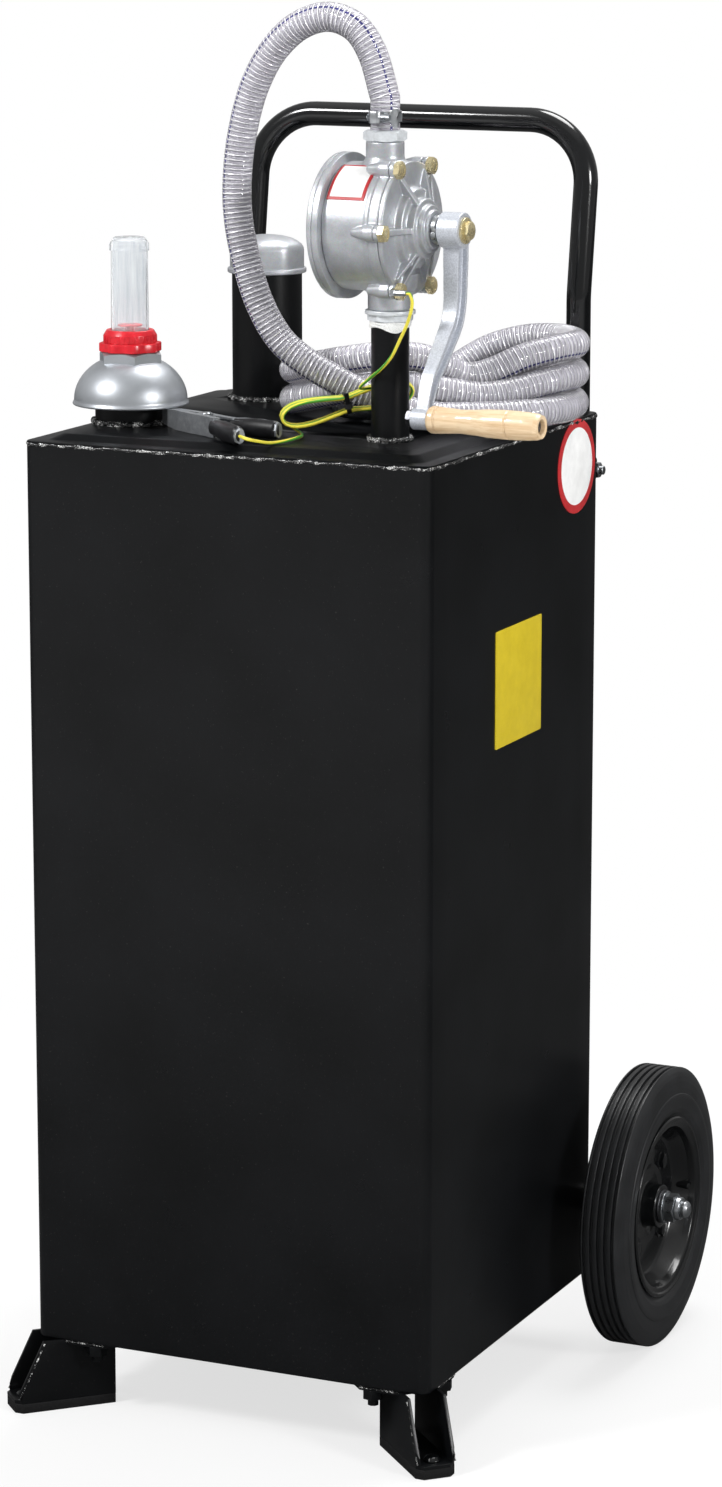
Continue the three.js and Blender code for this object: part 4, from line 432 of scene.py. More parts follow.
# Weld seam under the same coat: lumpy, with pale specks on its crests, partly grit that the coat leaves bare and partly
# a painted highlight standing in for the light caught along the lid's edge.
weldCoat, add, shader, place = newFinish("coatedWeld", "black_powder_coat", Specular_IOR_Level=0.4, Coat_Weight=0.4,
                                         Coat_Roughness=0.05)
grit = add("TexNoise", {}, {"Vector": place, **lumps(1.1, 3.0, 0.75)})
patch = add("TexNoise", {}, {"Vector": place, **lumps(9, 2.0)})
both = add("Math", "MULTIPLY_ADD", {0: patch, 1: 0.6, 2: grit})
# the pale specks: worn bare grit, widened so that they also paint the highlight along the lid's edge
wearAndPaintedHighlight = add("MapRange", {}, {0: both, 1: 0.865, 2: 0.95, 3: 0.0, 4: 1.0})
tone = add("Mix", {"data_type": "RGBA"}, {0: wearAndPaintedHighlight, 6: linear("0c0d0e"), 7: linear("dcdcda")}, 2)
dull = add("MapRange", {}, {0: wearAndPaintedHighlight, 3: 0.22, 4: 0.6})
crests = add("Bump", {}, {"Strength": 1.0, "Distance": 0.0004, "Height": both})
feed(shader, Base_Color=tone, Roughness=dull, Normal=crests)

# Gloss black enamel on drawn tube: smoother than the sheet, so a thin sharp line of light runs along it.
tubeEnamel = clouded("blackTubeEnamel", "black_tube", lumps(60, 4.0), [(0.3, "08090a"), (0.8, "0e0f11")], (0.1, 0.2),
                     (0.5, 0.00005), lumps(3, 1.0), Specular_IOR_Level=0.35, Coat_Weight=0.6, Coat_Roughness=0.04)
# Gloss black baked paint on pressed steel rims: hard small highlights, with scuffs.
rimPaint = clouded("glossRimPaint", "black_rim", lumps(25, 6.0, 0.7), [(0.35, "08090a"), (0.62, "0d0e0f"),
                   (0.8, "1a1b1d")], (0.12, 0.3), Specular_IOR_Level=0.5, Coat_Weight=0.3, Coat_Roughness=0.05)
# Moulded tyre rubber: dark satin grey-black with a bloom and a fine mould texture.
tyreRubber = clouded("mouldedTyreRubber", "tyre_rubber", lumps(30, 5.0), [(0.3, "151617"), (0.75, "1f2022")],
                     (0.28, 0.44), (0.7, 0.00008), lumps(0.9, 3.0), Specular_IOR_Level=0.5)
# Pressed rubber pads under the feet: matt black, finely pitted.
padRubber = clouded("pressedPadRubber", "pad_rubber", lumps(1.5, 4.0), [(0.35, "0b0b0c"), (0.75, "1a1a1b")],
                    (0.65, 0.9), (0.8, 0.0001), Specular_IOR_Level=0.25)

# Silver aluminium paint on cast iron: fine flake and soft highlights over the sand casting's lumps, about 3 mm across.
silverPaint, add, shader, place = newFinish("silverPaintOnCasting", "silver_paint", Metallic=0.65,
                                            Specular_IOR_Level=0.5, Coat_Weight=0.1, Coat_Roughness=0.15)
cloud = add("TexNoise", {}, {"Vector": place, **lumps(18, 5.0, 0.6)})
tone = add("ValToRGB", {"stops": [(0.3, "b7babf"), (0.7, "ced1d5")]}, {0: cloud})
flake = add("TexVoronoi", {"feature": "F1"}, {"Vector": place, "Scale": 1000 / 0.7}, 1)
glint = add("SeparateColor", {}, {0: flake})
flaked = add("Mix", {"data_type": "RGBA", "blend_type": "MULTIPLY"}, {0: 0.18, 6: tone, 7: flake}, 2)
dull = add("MapRange", {}, {0: glint, 3: 0.34, 4: 0.48})
sand = add("TexNoise", {}, {"Vector": place, **lumps(3.2, 4.0, 0.62)})
bumps = add("Bump", {}, {"Strength": 1.0, "Distance": 0.00012, "Height": sand})
feed(shader, Base_Color=flaked, Roughness=dull, Normal=bumps)

# Painted spun sheet of the gauge's dome: the same silver without the lumps, so highlights stay round and clean.
smoothSilver = clouded("silverPaintOnSheet", "silver_paint", lumps(26, 4.0), [(0.3, "a9adb2"), (0.75, "bcc0c5")],
                       (0.36, 0.46), (0.5, 0.00005), lumps(2, 2.0), Metallic=0.75, Specular_IOR_Level=0.5,
                       Coat_Weight=0.2, Coat_Roughness=0.1)
# Sand-cast aluminium, tumbled: pale bluish grey, broad soft highlights and a fine pitted skin.
castAluminium = clouded("castAluminium", "cast_aluminium", lumps(1.4, 5.0, 0.6), [(0.32, "b4b8c0"), (0.66, "d3d7df")],
                        (0.5, 0.34), (0.9, 0.00014), Metallic=0.5)
# Bright zinc plate on turned steel: cool grey metal, cloudy passivation and fine marks.
zincSteel = clouded("zincPlatedSteel", "zinc_steel", lumps(7, 5.0), [(0.3, "a4a8ac"), (0.7, "cdd0d3")], (0.2, 0.38),
                    (0.5, 0.00004), lumps(0.8, 2.0), Metallic=1.0)
# Yellow chromate over zinc: pale brassy gold that drifts to rose and green in patches a few millimetres wide.
yellowZinc = clouded("yellowChromateZinc", "yellow_zinc", lumps(5, 3.0), [(0.3, "dccfa4"), (0.45, "e6d9ac"),
                     (0.6, "e8d6a8"), (0.75, "dcd6b0")], (0.2, 0.36), Metallic=0.8)
# Oiled dark steel of the bushes and the grip's spindle: grey metal, satin.
darkSteel = clouded("oiledDarkSteel", "dark_steel", lumps(4, 5.0), [(0.3, "56565a"), (0.7, "86878b")], (0.3, 0.5),
                    Metallic=1.0)
# Die-cast zinc of the union and the outlet: pale grey with a satin, slightly uneven skin.
paleCasting = clouded("paleDieCasting", "pale_fitting", lumps(5, 5.0), [(0.3, "c2c6c9"), (0.7, "dde1e5")],
                      (0.28, 0.44), (0.6, 0.0001), Metallic=0.25, Specular_IOR_Level=0.6)
# Thread-seal tape, wound and stretched: matt white with fine wound creases about 1 mm apart.
sealTape = clouded("threadSealTape", "pale_fitting", {**lumps(1.2, 3.0), "Distortion": 1.5},
                   [(0.3, "d2d3d2"), (0.65, "f2f2f0")], None, (1.0, 0.0003), Roughness=0.7, Specular_IOR_Level=0.3)
# Injection-moulded red plastic: clean saturated red, glossy, slightly uneven from the mould.
redPlastic = clouded("mouldedRedPlastic", "red_plastic", lumps(8, 3.0), [(0.3, "bb1421"), (0.7, "dc2532")],
                     (0.2, 0.32), Specular_IOR_Level=0.5, Subsurface_Weight=0.05, Subsurface_Scale=0.002)
# Drawn spring steel wire wound inside the hose wall: bright, so each turn gives one spark.
springWire = clouded("drawnSpringWire", "clear_hose", lumps(15, 2.0), [(0.3, "dededf"), (0.7, "f6f6f7")],
                     (0.18, 0.32), Metallic=0.4, Specular_IOR_Level=0.8)
# Nickelled spring-steel sheet of the clamp: mid grey with rubbed, brighter patches.
jawSteel = clouded("rubbedJawSteel", "clamp_steel", lumps(6, 6.0, 0.7), [(0.35, "8b8e92"), (0.6, "9da0a4"),
                   (0.75, "bbbec2")], (0.26, 0.46), Metallic=0.7)
# Dipped black vinyl sleeves and the nylon tie: soft black with a waxy sheen.
blackVinyl = clouded("dippedBlackVinyl", "clamp_steel", lumps(4, 4.0), [(0.3, "0d0d0f"), (0.75, "1c1c1f")],
                     (0.3, 0.5), Specular_IOR_Level=0.4)
# Enamelled foil plates, a little rubbed: flat white, red and yellow with a low sheen.
whitePlate, redPlate, yellowPlate = (
    clouded(name, "black_powder_coat", lumps(14, 6.0, 0.65), [(0.3, tint), (0.7, rubbed)], Roughness=0.38,
            Specular_IOR_Level=0.45)
    for name, tint, rubbed in (("whiteEnamelPlate", "d9d9d8", "e9e9e8"), ("redEnamelPlate", "a01c20", "b8262a"),
                               ("yellowEnamelPlate", "b9a30e", "c6b01a")))

# Lacquered pale hardwood: honey to cream grain along the grip, lines about 1.5 mm apart, under a clear gloss.
lacqueredWood, add, shader, place = newFinish("lacqueredPaleWood", "wood", Roughness=0.42, Coat_Weight=0.5,
                                              Coat_Roughness=0.12)
along = add("Mapping", {}, {"Vector": place, "Rotation": (0, 0, math.radians(3.6)), "Scale": (0.07, 1, 1)})
fibre = add("TexNoise", {}, {"Vector": along, **lumps(1.6, 5.0, 0.6)})
bands = add("TexNoise", {}, {"Vector": along, **lumps(7, 2.0)})
both = add("Math", "MULTIPLY_ADD", {0: bands, 1: 0.8, 2: fibre})
tone = add("ValToRGB", {"stops": [(0.55, "c3a279"), (0.85, "d5b892"), (1.0, "dfc6a2")]}, {0: both})
bumps = add("Bump", {}, {"Strength": 0.4, "Distance": 0.00006, "Height": fibre})
feed(shader, Base_Color=tone, Normal=bumps)


def letLampsThrough(add, shader, tint):  # lamps reach what is inside the clear plastic
    straight = add("BsdfTransparent", {}, {"Color": linear(tint)})
    shadow = add("LightPath", out="Is Shadow Ray")
    mixed = add("MixShader", {}, {0: shadow, 1: shader.outputs[0], 2: straight})
    shader.id_data.links.new(mixed, shader.id_data.nodes["Material Output"].inputs["Surface"])


# Moulded clear acrylic of the sight tube: clear, with a faint haze drawn out along it.
clearAcrylic, add, shader, place = newFinish("clearAcrylic", "clear_plastic", Transmission_Weight=0.85, IOR=1.12,
                                             Roughness=0.12)
drawn = add("Mapping", {}, {"Vector": place, "Scale": (1, 1, 0.05)})
haze = add("TexNoise", {}, {"Vector": drawn, **lumps(3, 3.0)})
feed(shader, Base_Color=add("ValToRGB", {"stops": [(0.35, "dadde0"), (0.65, "f4f5f6")]}, {0: haze}))
letLampsThrough(add, shader, "e4e8ea")

hose = {"radius": 12.5, "lining": 10.1, "coil": 11.0, "wire": 0.52, "pitch": 4.1, "rise": 26, "outlet": (-5, 0, 81.2),
        "lead": [(92, 99.5, 1134.8), (76.7, 99.5, 1154.5), (53.7, 99.5, 1162.3), (27.8, 99.5, 1155.7), (3.3, 100, 1136),
                 (-16.5, 101, 1104.6), (-28.9, 102, 1065.6), (-34.7, 103, 1027.3), (-34.8, 104, 993.3),
                 (-28.2, 105, 956.9), (-16.1, 107, 918.8), (1.5, 112, 887.4), (22.5, 118, 869), (45.5, 124, 855.5),
                 (64, 131, 845), (88, 142, 834), (110, 157, 825.5)],
        "tail": [(45, 305, 826), (30, 290, 822), (22, 272, 821.8), (20, 250, 821.8), (20, 222, 821.8)]}


def woundPhase(add):  # turns of the wire so far, and the place round the hose, from its uv
    split = add("SeparateXYZ", {}, {0: add("UVMap")}, None)
    return add("Math", "MULTIPLY_ADD", {0: split[0], 1: 1000 / hose["pitch"], 2: split[1]}), split[1]


# Clear plasticised vinyl of the hose wall: nearly colourless, waxy gloss, ribbed by the wire inside it.
clearVinyl, add, shader, place = newFinish("clearVinylWall", "clear_hose", Transmission_Weight=1.0, IOR=1.35)
shader.inputs["Base Color"].default_value = linear("f4f4f5")
phase, turned = woundPhase(add)
waves = add("Math", "SINE", {0: add("Math", "MULTIPLY", {0: phase, 1: fullTurn})})
ribs = add("Bump", {}, {"Strength": 0.6, "Distance": 0.0003, "Height": waves})
smear = add("TexNoise", {}, {"Vector": place, **lumps(12, 3.0)})
feed(shader, Normal=ribs, Roughness=add("MapRange", {}, {0: smear, 3: 0.03, 4: 0.09}))
letLampsThrough(add, shader, "f0eff2")

# Milky inner layer of the hose: opaque grey, with painted light on each turn of the wire, a pale painted highlight
# under it and dark painted shade in bands beside it, and one deep blue tracer line.
hoseLining, add, shader, place = newFinish("milkyVinylLining", "clear_hose", Roughness=0.45, Specular_IOR_Level=0.4)
phase, turned = woundPhase(add)
rung = add("Math", "FRACT", {0: phase})
# painted light along each turn of the wire: a pale painted highlight under the wire and dark painted shade beside it
rungHighlightAndShade = add("ValToRGB", {"stops": [(0.0, "e0dfe3"), (0.14, "76747b"), (0.35, "9f9da4"), (0.65, "9f9da4"),
                                  (0.86, "76747b"), (1.0, "e0dfe3")]}, {0: rung})
off = add("Math", "SUBTRACT", {0: turned, 1: 0.5})
away = add("Math", "ABSOLUTE", {0: off})
line = add("MapRange", {}, {0: away, 1: 0.014, 2: 0.018, 3: 1.0, 4: 0.0})
feed(shader, Base_Color=add("Mix", {"data_type": "RGBA"}, {0: line, 6: rungHighlightAndShade, 7: linear("17145e")}, 2))

# Two-colour insulation of the earth wire: a green stripe and a broad yellow one, winding lazily, soiled in places.
earthJacket, add, shader, place = newFinish("earthWireJacket", "wire_jacket", Roughness=0.38)
split = add("SeparateXYZ", {}, {0: add("UVMap")}, None)
lazy = add("Math", "MULTIPLY_ADD", {0: split[0], 1: 7.0, 2: split[1]})
turned = add("Math", "FRACT", {0: lazy})
tone = add("ValToRGB", {"stops": [(0.0, "4a9a2e"), (0.26, "57a636"), (0.31, "e8dc48"), (0.96, "dfd040"),
                                  (1.0, "4a9a2e")]}, {0: turned})
smear = add("TexNoise", {}, {"Vector": place, **lumps(9, 3.0)})
soiled = add("MapRange", {}, {0: smear, 1: 0.5, 2: 0.9, 3: 0.0, 4: 0.25})
feed(shader, Base_Color=add("Mix", {"data_type": "RGBA"}, {0: soiled, 6: tone, 7: linear("4d5a2c")}, 2))

asTheyAre = {"suction_tube": zincSteel, "float_arm": zincSteel, "axle": zincSteel, "packing_nut": zincSteel,
             "pump_rotor": castAluminium, "pump_vane": paleCasting, "clamp_jaw_near": jawSteel,
             "clamp_jaw_far": jawSteel}
for name, finish in asTheyAre.items():  # nodes that keep their CAD shape
    nodes[name].data.materials.clear()
    nodes[name].data.materials.append(finish)
print("finishes made:", len(bpy.data.materials))

pumpFrame = {"x": 109.6, "y": 99.3, "z": 989.1, "turn": -3.6}
pumpPlace = shift(pumpFrame["x"], pumpFrame["y"], pumpFrame["z"]) @ spin(math.radians(pumpFrame["turn"]))
alongPump = pumpPlace @ toRight  # local z runs forward along the shaft, local y stays back

# The hose leaves the pump's outlet, bends over high and comes down to the lid, where it coils round the pump's foot.
coil = {"x": 78.4, "y": 263.3, "long": 125.2, "short": 104.8, "skew": 9.85, "first": 300, "last": 1185, "step": 15,
        "crossing": 195, "climb": 90, "pitch": 26.1, "leans": [(80, 118, 85), (57, 318, 60)], "height": 821.8}


def ease(part):
    inside = min(max(part, 0), 1)
    return inside * inside * (3 - 2 * inside)


def coilPoint(degrees):
    turn, skew = math.radians(degrees - coil["skew"]), math.radians(coil["skew"])
    along, across = coil["long"] * math.cos(turn), coil["short"] * math.sin(turn)
    x = coil["x"] + along * math.cos(skew) - across * math.sin(skew)
    y = coil["y"] + along * math.sin(skew) + across * math.cos(skew)
    layer = math.floor((degrees - coil["crossing"]) / 360)
    climbed = ease((degrees - coil["crossing"] - 360 * layer) / coil["climb"])
    level = 0 if layer < 1 else coil["pitch"] * (layer - 1 + climbed)
    lean = 0
    for amount, peak, width in coil["leans"]:
        away = abs((degrees - peak + 180) % 360 - 180)
        lean += math.radians(amount) * ease(1 - away / width)
    inward = Vector((coil["x"] - x, coil["y"] - y, 0)).normalized()
    return Vector((x, y, coil["height"])) + inward * level * math.sin(lean) + Vector((0, 0, level * math.cos(lean)))


def tube(name, points, radius, sides, finish, stands=(), side=None, bore=0.0, boreDepth=0.0):
    bm = bmesh.new()
    sweep(bm, points, radius, sides, bore, boreDepth, side)
    return addPiece(name, bm, finish, stands, merge=0)


coilPoints = [coilPoint(a) for a in range(coil["first"], coil["last"] + 1, coil["step"])]
coilLine = smoothRoute(coilPoints + hose["tail"], 440)
outletPoint = pumpPlace @ Vector(hose["outlet"])
heading = (coilLine[1] - coilLine[0]).normalized()
rise = [outletPoint + up * (hose["rise"] * i / 6) for i in range(7)]
leadLine = smoothRoute(rise[-1:] + hose["lead"] + [coilLine[0] - heading * 12.8], 150)
hoseLine = rise[:-1] + leadLine + [coilLine[0] - heading * 6] + coilLine

# A wire wound round a route: the route is resampled, pushed out round its own axis and skinned with a thin ring.
woundTree, add, given = newTree("wireWoundRoundARoute", {
    "Coil Radius": ("Float", 11.0), "Pitch": ("Float", 4.1), "Wire Radius": ("Float", 0.4), "Sides": ("Int", 5),
    "Material": ("Material", None)})
route = add("GeometryNodeMeshToCurve", {}, {"Mesh": given["Geometry"]})
step = add("Math", "DIVIDE", {0: given["Pitch"], 1: 18.0})
fine = add("GeometryNodeResampleCurve", {"mode": "LENGTH"}, {"Curve": route, "Length": step})
travelled = add("GeometryNodeSplineParameter", out="Length")
wraps = add("Math", "DIVIDE", {0: travelled, 1: given["Pitch"]})
angle = add("Math", "MULTIPLY", {0: wraps, 1: fullTurn})
cosine = add("Math", "COSINE", {0: angle})
sine = add("Math", "SINE", {0: angle})
normal = add("GeometryNodeInputNormal")
binormal = add("VectorMath", "CROSS_PRODUCT", {0: add("GeometryNodeInputTangent"), 1: normal})
one = add("VectorMath", "SCALE", {0: normal, "Scale": cosine})
two = add("VectorMath", "SCALE", {0: binormal, "Scale": sine})
sidewise = add("VectorMath", "ADD", {0: one, 1: two})
pushed = add("VectorMath", "SCALE", {0: sidewise, "Scale": given["Coil Radius"]})
wound = add("GeometryNodeSetPosition", {}, {"Geometry": fine, "Offset": pushed})
section = add("GeometryNodeCurvePrimitiveCircle", {}, {"Resolution": given["Sides"], "Radius": given["Wire Radius"]})
skinned = add("GeometryNodeCurveToMesh", {}, {"Curve": wound, "Profile Curve": section, "Fill Caps": True})
endTree(add, skinned, given["Material"])

outerSide = Vector((-0.8, 0.6, 0))  # the tracer line lies opposite
hoseWall = tube("hose_wall", hoseLine, hose["radius"], 28, clearVinyl, ("hose_lead", "hose_coil"), outerSide)
hoseCore = tube("hose_lining", hoseLine, hose["lining"], 28, hoseLining, (), outerSide)
route = bpy.data.meshes.new("route")
route.from_pydata([tuple(p) for p in hoseLine], [(i, i + 1) for i in range(len(hoseLine) - 1)], [])
bm = bmesh.new()
addMesh(bm, growMesh(woundTree, {"Coil Radius": hose["coil"], "Pitch": hose["pitch"], "Wire Radius": hose["wire"],
                                 "Sides": 4, "Material": springWire}, route))
hoseWire = addPiece("hose_spring_wire", bm, springWire, merge=0, sharp=80)
print("hose made:", round(routeLength(hoseLine)), "mm")

# Bent discharge spout: collar against the hose's end, a rolled bead and an open mouth.
spout = {"bore": 8, "lead": 6, "boreDepth": 12, "route": [(20, 200, 821.8), (24, 192, 821.8), (32, 187, 821.8),
         (43, 186, 821.8), (84, 194, 821.8)], "steps": 48,
         "collar": [(-12, 8.4), (0, 8.4), (0, 11.6), (0.6, 12.4), (2.6, 12.4), (3.2, 11.6), (3.2, 9.5)],
         "pipe": 9.5, "bead": [9.6, 10.0, 10.2, 9.9]}
away = (coilLine[-1] - coilLine[-2]).normalized()
spoutStart = coilLine[-1] + away * 0.3
bend = smoothRoute([spoutStart + away * spout["lead"]] + spout["route"], spout["steps"])
spoutLine = [spoutStart + away * reach for reach, size in spout["collar"]] + bend
spoutSizes = [size for reach, size in spout["collar"]] + [spout["pipe"]] * (len(bend) - 4) + spout["bead"]
axes = routeFrames([p + away * i * 1e-4 for i, p in enumerate(spoutLine[:7])] + bend)
mouth = len(spoutLine) - 1
bm = bmesh.new()
loft(bm, [ringRound(spoutLine[i], axes[i], size, 40) for i, size in
          list(enumerate(spoutSizes)) + [(mouth, spout["bore"]), (mouth - spout["boreDepth"], spout["bore"])]])
dischargeSpout = addPiece("spout_pipe", bm, zincSteel, ("discharge_spout",), merge=0)

# The earth wire: from its lug on the pump down to a hank held by a tie, then to the clamp's handle.
wire = {"radius": 1.4, "crimp": (36.3, -10.8), "circle": 58.1, "lugTurn": 240,
        "lead": [(147.1, 60, 931.5), (140.4, 66, 914), (131.2, 70, 897.9), (123, 72, 883.8), (112.3, 76, 873),
                 (98.5, 82, 863.1), (86, 90, 853.5)],
        "tail": [(24, 90, 815.5), (31, 88, 812.2), (36, 80, 811.2), (38, 68, 811.2), (38, 54, 811.2), (36, 38, 811.2),
                 (32, 24, 811.8), (26, 12, 814.5), (20.5, 4.6, 817)]}
hank = {"centre": (68, 103, 837.5), "along": (100, 56, 25), "halfLength": 57, "halfHeight": 18, "spacing": 3.5,
        "waist": 0.3, "power": 1.2, "loops": 5, "start": 66, "exit": 200, "step": 10}
clampFrame = {"x": -51, "y": 73.6, "z": 817.8, "heading": -29.4, "handle": 84, "spread": 23.7,
              "sleeve": [(0.31, 0.42), (0.475, 0.555), (0.715, 0.8), (1, 1)]}
clampPlace = shift(clampFrame["x"], clampFrame["y"], clampFrame["z"]) @ spin(math.radians(clampFrame["heading"]))
alongHank = Vector(hank["along"]).normalized()
besideHank = Vector((alongHank.y, -alongHank.x, 0)).normalized()
overHank = besideHank.cross(alongHank)


def hankPoint(degrees):
    turn = math.radians(degrees)
    waist = hank["waist"] + (1 - hank["waist"]) * abs(math.cos(turn)) ** hank["power"]
    return (Vector(hank["centre"]) + alongHank * hank["halfLength"] * math.cos(turn)
            + overHank * hank["halfHeight"] * math.sin(turn) * waist
            + besideHank * hank["spacing"] * (hank["loops"] / 2 - degrees / 360))


nearSleeve = smoothRoute([Vector((clampFrame["handle"] * a, -clampFrame["spread"] * b, 0))
                          for a, b in clampFrame["sleeve"]], 24)
wireOut = clampPlace.to_3x3() @ (nearSleeve[-1] - nearSleeve[-2]).normalized()
wireEnd = clampPlace @ nearSleeve[-1] + wireOut * 0.3
hankLine = [hankPoint(a) for a in range(hank["start"], hank["exit"] + 360 * hank["loops"] + 1, hank["step"])]
tailLine = smoothRoute([hankLine[-1]] + wire["tail"] + [wireEnd + wireOut * 2.8], 60)
lug = polar(wire["circle"], math.radians(wire["lugTurn"]))
lugPoint = pumpPlace @ Vector((wire["crimp"][0], lug.x + wire["crimp"][1], lug.y))
forward = (pumpPlace.to_3x3() @ Vector((1, 0, 0))).normalized()
start = (hankLine[1] - hankLine[0]).normalized()
wireLead = smoothRoute([lugPoint + forward * 2.8] + wire["lead"] + [hankLine[0] - start * 3.1], 90)
wireLine = [lugPoint, lugPoint + forward * 1.4] + wireLead + hankLine + tailLine[1:] + [wireEnd]
earthWire = tube("earth_wire", wireLine, wire["radius"], 12, earthJacket, ("ground_lead", "ground_hank"))

# Nylon tie round the hank's waist: a flat band with its lock and a short tongue.
tie = {"long": 11.6, "high": 8.6, "thick": 1.0, "width": 4.2, "power": 0.6, "back": 0.4,
       "lock": [(11, -3), (14.5, -3), (14.5, 3), (11, 3)], "lockHalf": 3.2,
       "tongue": [(13.6, 1), (14.5, 1), (19, 11), (18.1, 11.3)], "tongueHalf": 2}
tiePlace = Matrix((besideHank, overHank, alongHank)).transposed().to_4x4()
tiePlace.translation = Vector(hank["centre"]) - besideHank * hank["spacing"] * tie["back"]
squared = lambda share: math.copysign(abs(share) ** tie["power"], share)
band = [[(squared(math.cos(a)) * (tie["long"] - inset), squared(math.sin(a)) * (tie["high"] - inset))
         for a in turns(40)] for inset in (0, tie["thick"])]
half = tie["width"] / 2
bm = bmesh.new()
loft(bm, [[tiePlace @ Vector((x, y, z)) for x, y in ring] for ring, z in
          ((band[0], -half), (band[0], half), (band[1], half), (band[1], -half))], looped=True)
prism(bm, tie["lock"], -tie["lockHalf"], tie["lockHalf"], 0.5, tiePlace)
prism(bm, tie["tongue"], -tie["tongueHalf"], tie["tongueHalf"], 0.2, tiePlace)
addPiece("hank_tie", bm, blackVinyl, ())
print("cords made")

tank = {"width": 380, "depth": 380, "wall": 2, "corner": 10, "pan": 6, "rim": 801, "cornerSteps": 8, "sideSteps": 12,
        "pull": 0.4, "lug": [(-85, 379), (-45, 379), (-45, 394, 14), (-53, 409, 14), (-77, 409, 14), (-85, 394, 14)],
        "lugReach": (148.7, 151.7)}
tankMiddle = tank["depth"] / 2


def tankRing(inset, z, corner=None, pull=0.0):  # outline of the tank; pull draws the middles of its sides in a little
    corner = max(tank["corner"] - inset, 3) if corner is None else corner
    half = (tank["width"] / 2 - inset - corner, tank["depth"] / 2 - inset - corner)
    corners, points = [(1, 1), (-1, 1), (-1, -1), (1, -1)], []
    for index, (signX, signY) in enumerate(corners):
        middle = Vector((signX * half[0], tankMiddle + signY * half[1], 0))
        points += [middle + polar(corner, quarter * (index + step / tank["cornerSteps"]), z)
                   for step in range(tank["cornerSteps"] + 1)]
        start, (nextX, nextY) = points[-1].copy(), corners[(index + 1) % 4]
        turn = quarter * (index + 1)
        end = Vector((nextX * half[0], tankMiddle + nextY * half[1], 0)) + polar(corner, turn, z)
        for step in range(1, tank["sideSteps"]):
            part = step / tank["sideSteps"]
            wave = pull * (math.sin(math.pi * part) + 0.25 * math.sin(3 * math.pi * part + index))
            points.append(start.lerp(end, part) - polar(1, turn) * wave)
    return points


bm = bmesh.new()
pan, rim = tank["pan"], tank["rim"]
levels = [pan, 10] + [10 + 783 * i / 22 for i in range(1, 22)] + [793, rim]
outer = [tankRing(0, z, None, tank["pull"] * math.sin(math.pi * (z - pan) / (rim - pan)) if pan < z < rim else 0)
         for z in levels]
loft(bm, outer + [tankRing(tank["wall"], z) for z in (rim, pan)], looped=True)
for side in (-1, 1):  # lugs on the back wall that carry the axle
    low, high = sorted(side * reach for reach in tank["lugReach"])
    prism(bm, fillet(tank["lug"], 8, 6, True), low, high, 0.5, toRight)
addPiece("tank_walls", bm, powderCoat, ("tank_shell",), sharp=30)

bm = bmesh.new()
edge = fillet([(6, 0), (0, 0, 6), (0, 6)], 6, 8)
loft(bm, [tankRing(60, 0, 10)] + [tankRing(inset, z, max(10 - inset, 4)) for inset, z in edge]
     + [tankRing(2, 6), tankRing(5, 3), tankRing(60, 3, 10)])
addPiece("tank_pan", bm, powderCoat, ("tank_bottom",), sharp=30)

pipes = {"gauge_neck": (-143.8, 112.3, 31.15, 28.6, 834, 26), "filler_pipe": (-107.4, 311.7, 31.7, 29, 937, 26),
         "riser_pipe": (109.6, 99.3, 16.2, 13.5, 908, 17)}  # x, y, outer, inner, top, lumps in the weld
lidEdge = [(25, 806), (15, 801), (0, 801), (0, 804, 0.9), (14, 804, 7), (24, 809, 7), (40, 809)]
bm = bmesh.new()
loft(bm, [tankRing(inset, z, None if inset < 1 else 10) for inset, z in fillet(lidEdge, 1, 5)])
lid = addPiece("tank_lid", bm, lidCoat, sharp=30, later=True)
bm = bmesh.new()
for x, y, outer, inner, top, lumpCount in pipes.values():
    lathe(bm, [(0, 795), (outer + 0.3, 795), (outer + 0.3, 815), (0, 815)], 64, shift(x, y))
mesh = meshFrom(bm, "cutter")
mesh.transform(tankPlace)
cutter = linkNew("cutter", mesh)
holes = lid.modifiers.new("holes", "BOOLEAN")
holes.object, holes.solver = cutter, "EXACT"
lid.data = settled(lid)
lid.modifiers.clear()
bpy.data.objects.remove(cutter)
standFor(("tank_top",))

# Weld line under the lid's edge: a thin irregular bead all the way round; the weld coat's pale specks on it are partly
# wear and partly a painted highlight along the edge.
bead = {"inset": 0.2, "height": 801.2, "spacing": 2.5, "size": 1.15, "out": 0.8, "up": 1.25, "wander": (0.35, 0.53),
        "swells": [(0.3, 1.31, 0), (0.25, 0.37, 2), (0.15, 2.9, 0)]}  # each one's amount, pace and start
edge = tankRing(bead["inset"], bead["height"])
dense, rings = [], []
for a, b in zip(edge, edge[1:] + edge[:1]):
    count = max(1, int((b - a).length / bead["spacing"]))
    dense += [a.lerp(b, i / count) for i in range(count)]
for i, p in enumerate(dense):
    ahead = (dense[(i + 1) % len(dense)] - dense[i - 1]).normalized()
    out = Vector((ahead.y, -ahead.x, 0))
    size = sum((amount * math.sin(i * pace + start) for amount, pace, start in bead["swells"]), bead["size"])
    spot = p + up * (bead["wander"][0] * math.sin(i * bead["wander"][1]))
    rings.append([spot + (out * math.cos(a) * bead["out"] + up * bead["up"] * math.sin(a)) * size for a in turns(8)])
bm = bmesh.new()
loft(bm, rings, looped=True)
addPiece("lid_weld", bm, weldCoat, sharp=80)


# Weld seams round the three pipes: a low collar with lumps set round it.
seam = {"profile": [(-0.6, 808), (3.4, 808.4), (2.6, 810.6), (0.8, 812.6), (-0.6, 813), (-0.6, 808)], "reach": 1.3,
        "height": 810.2, "lump": (4.6, 3.2, 3.6, 1), "sizes": (0.72, 1.08), "wander": 0.55}


def weldLump(bm):
    bmesh.ops.create_icosphere(bm, subdivisions=2, radius=1, matrix=Matrix.Diagonal(seam["lump"]))


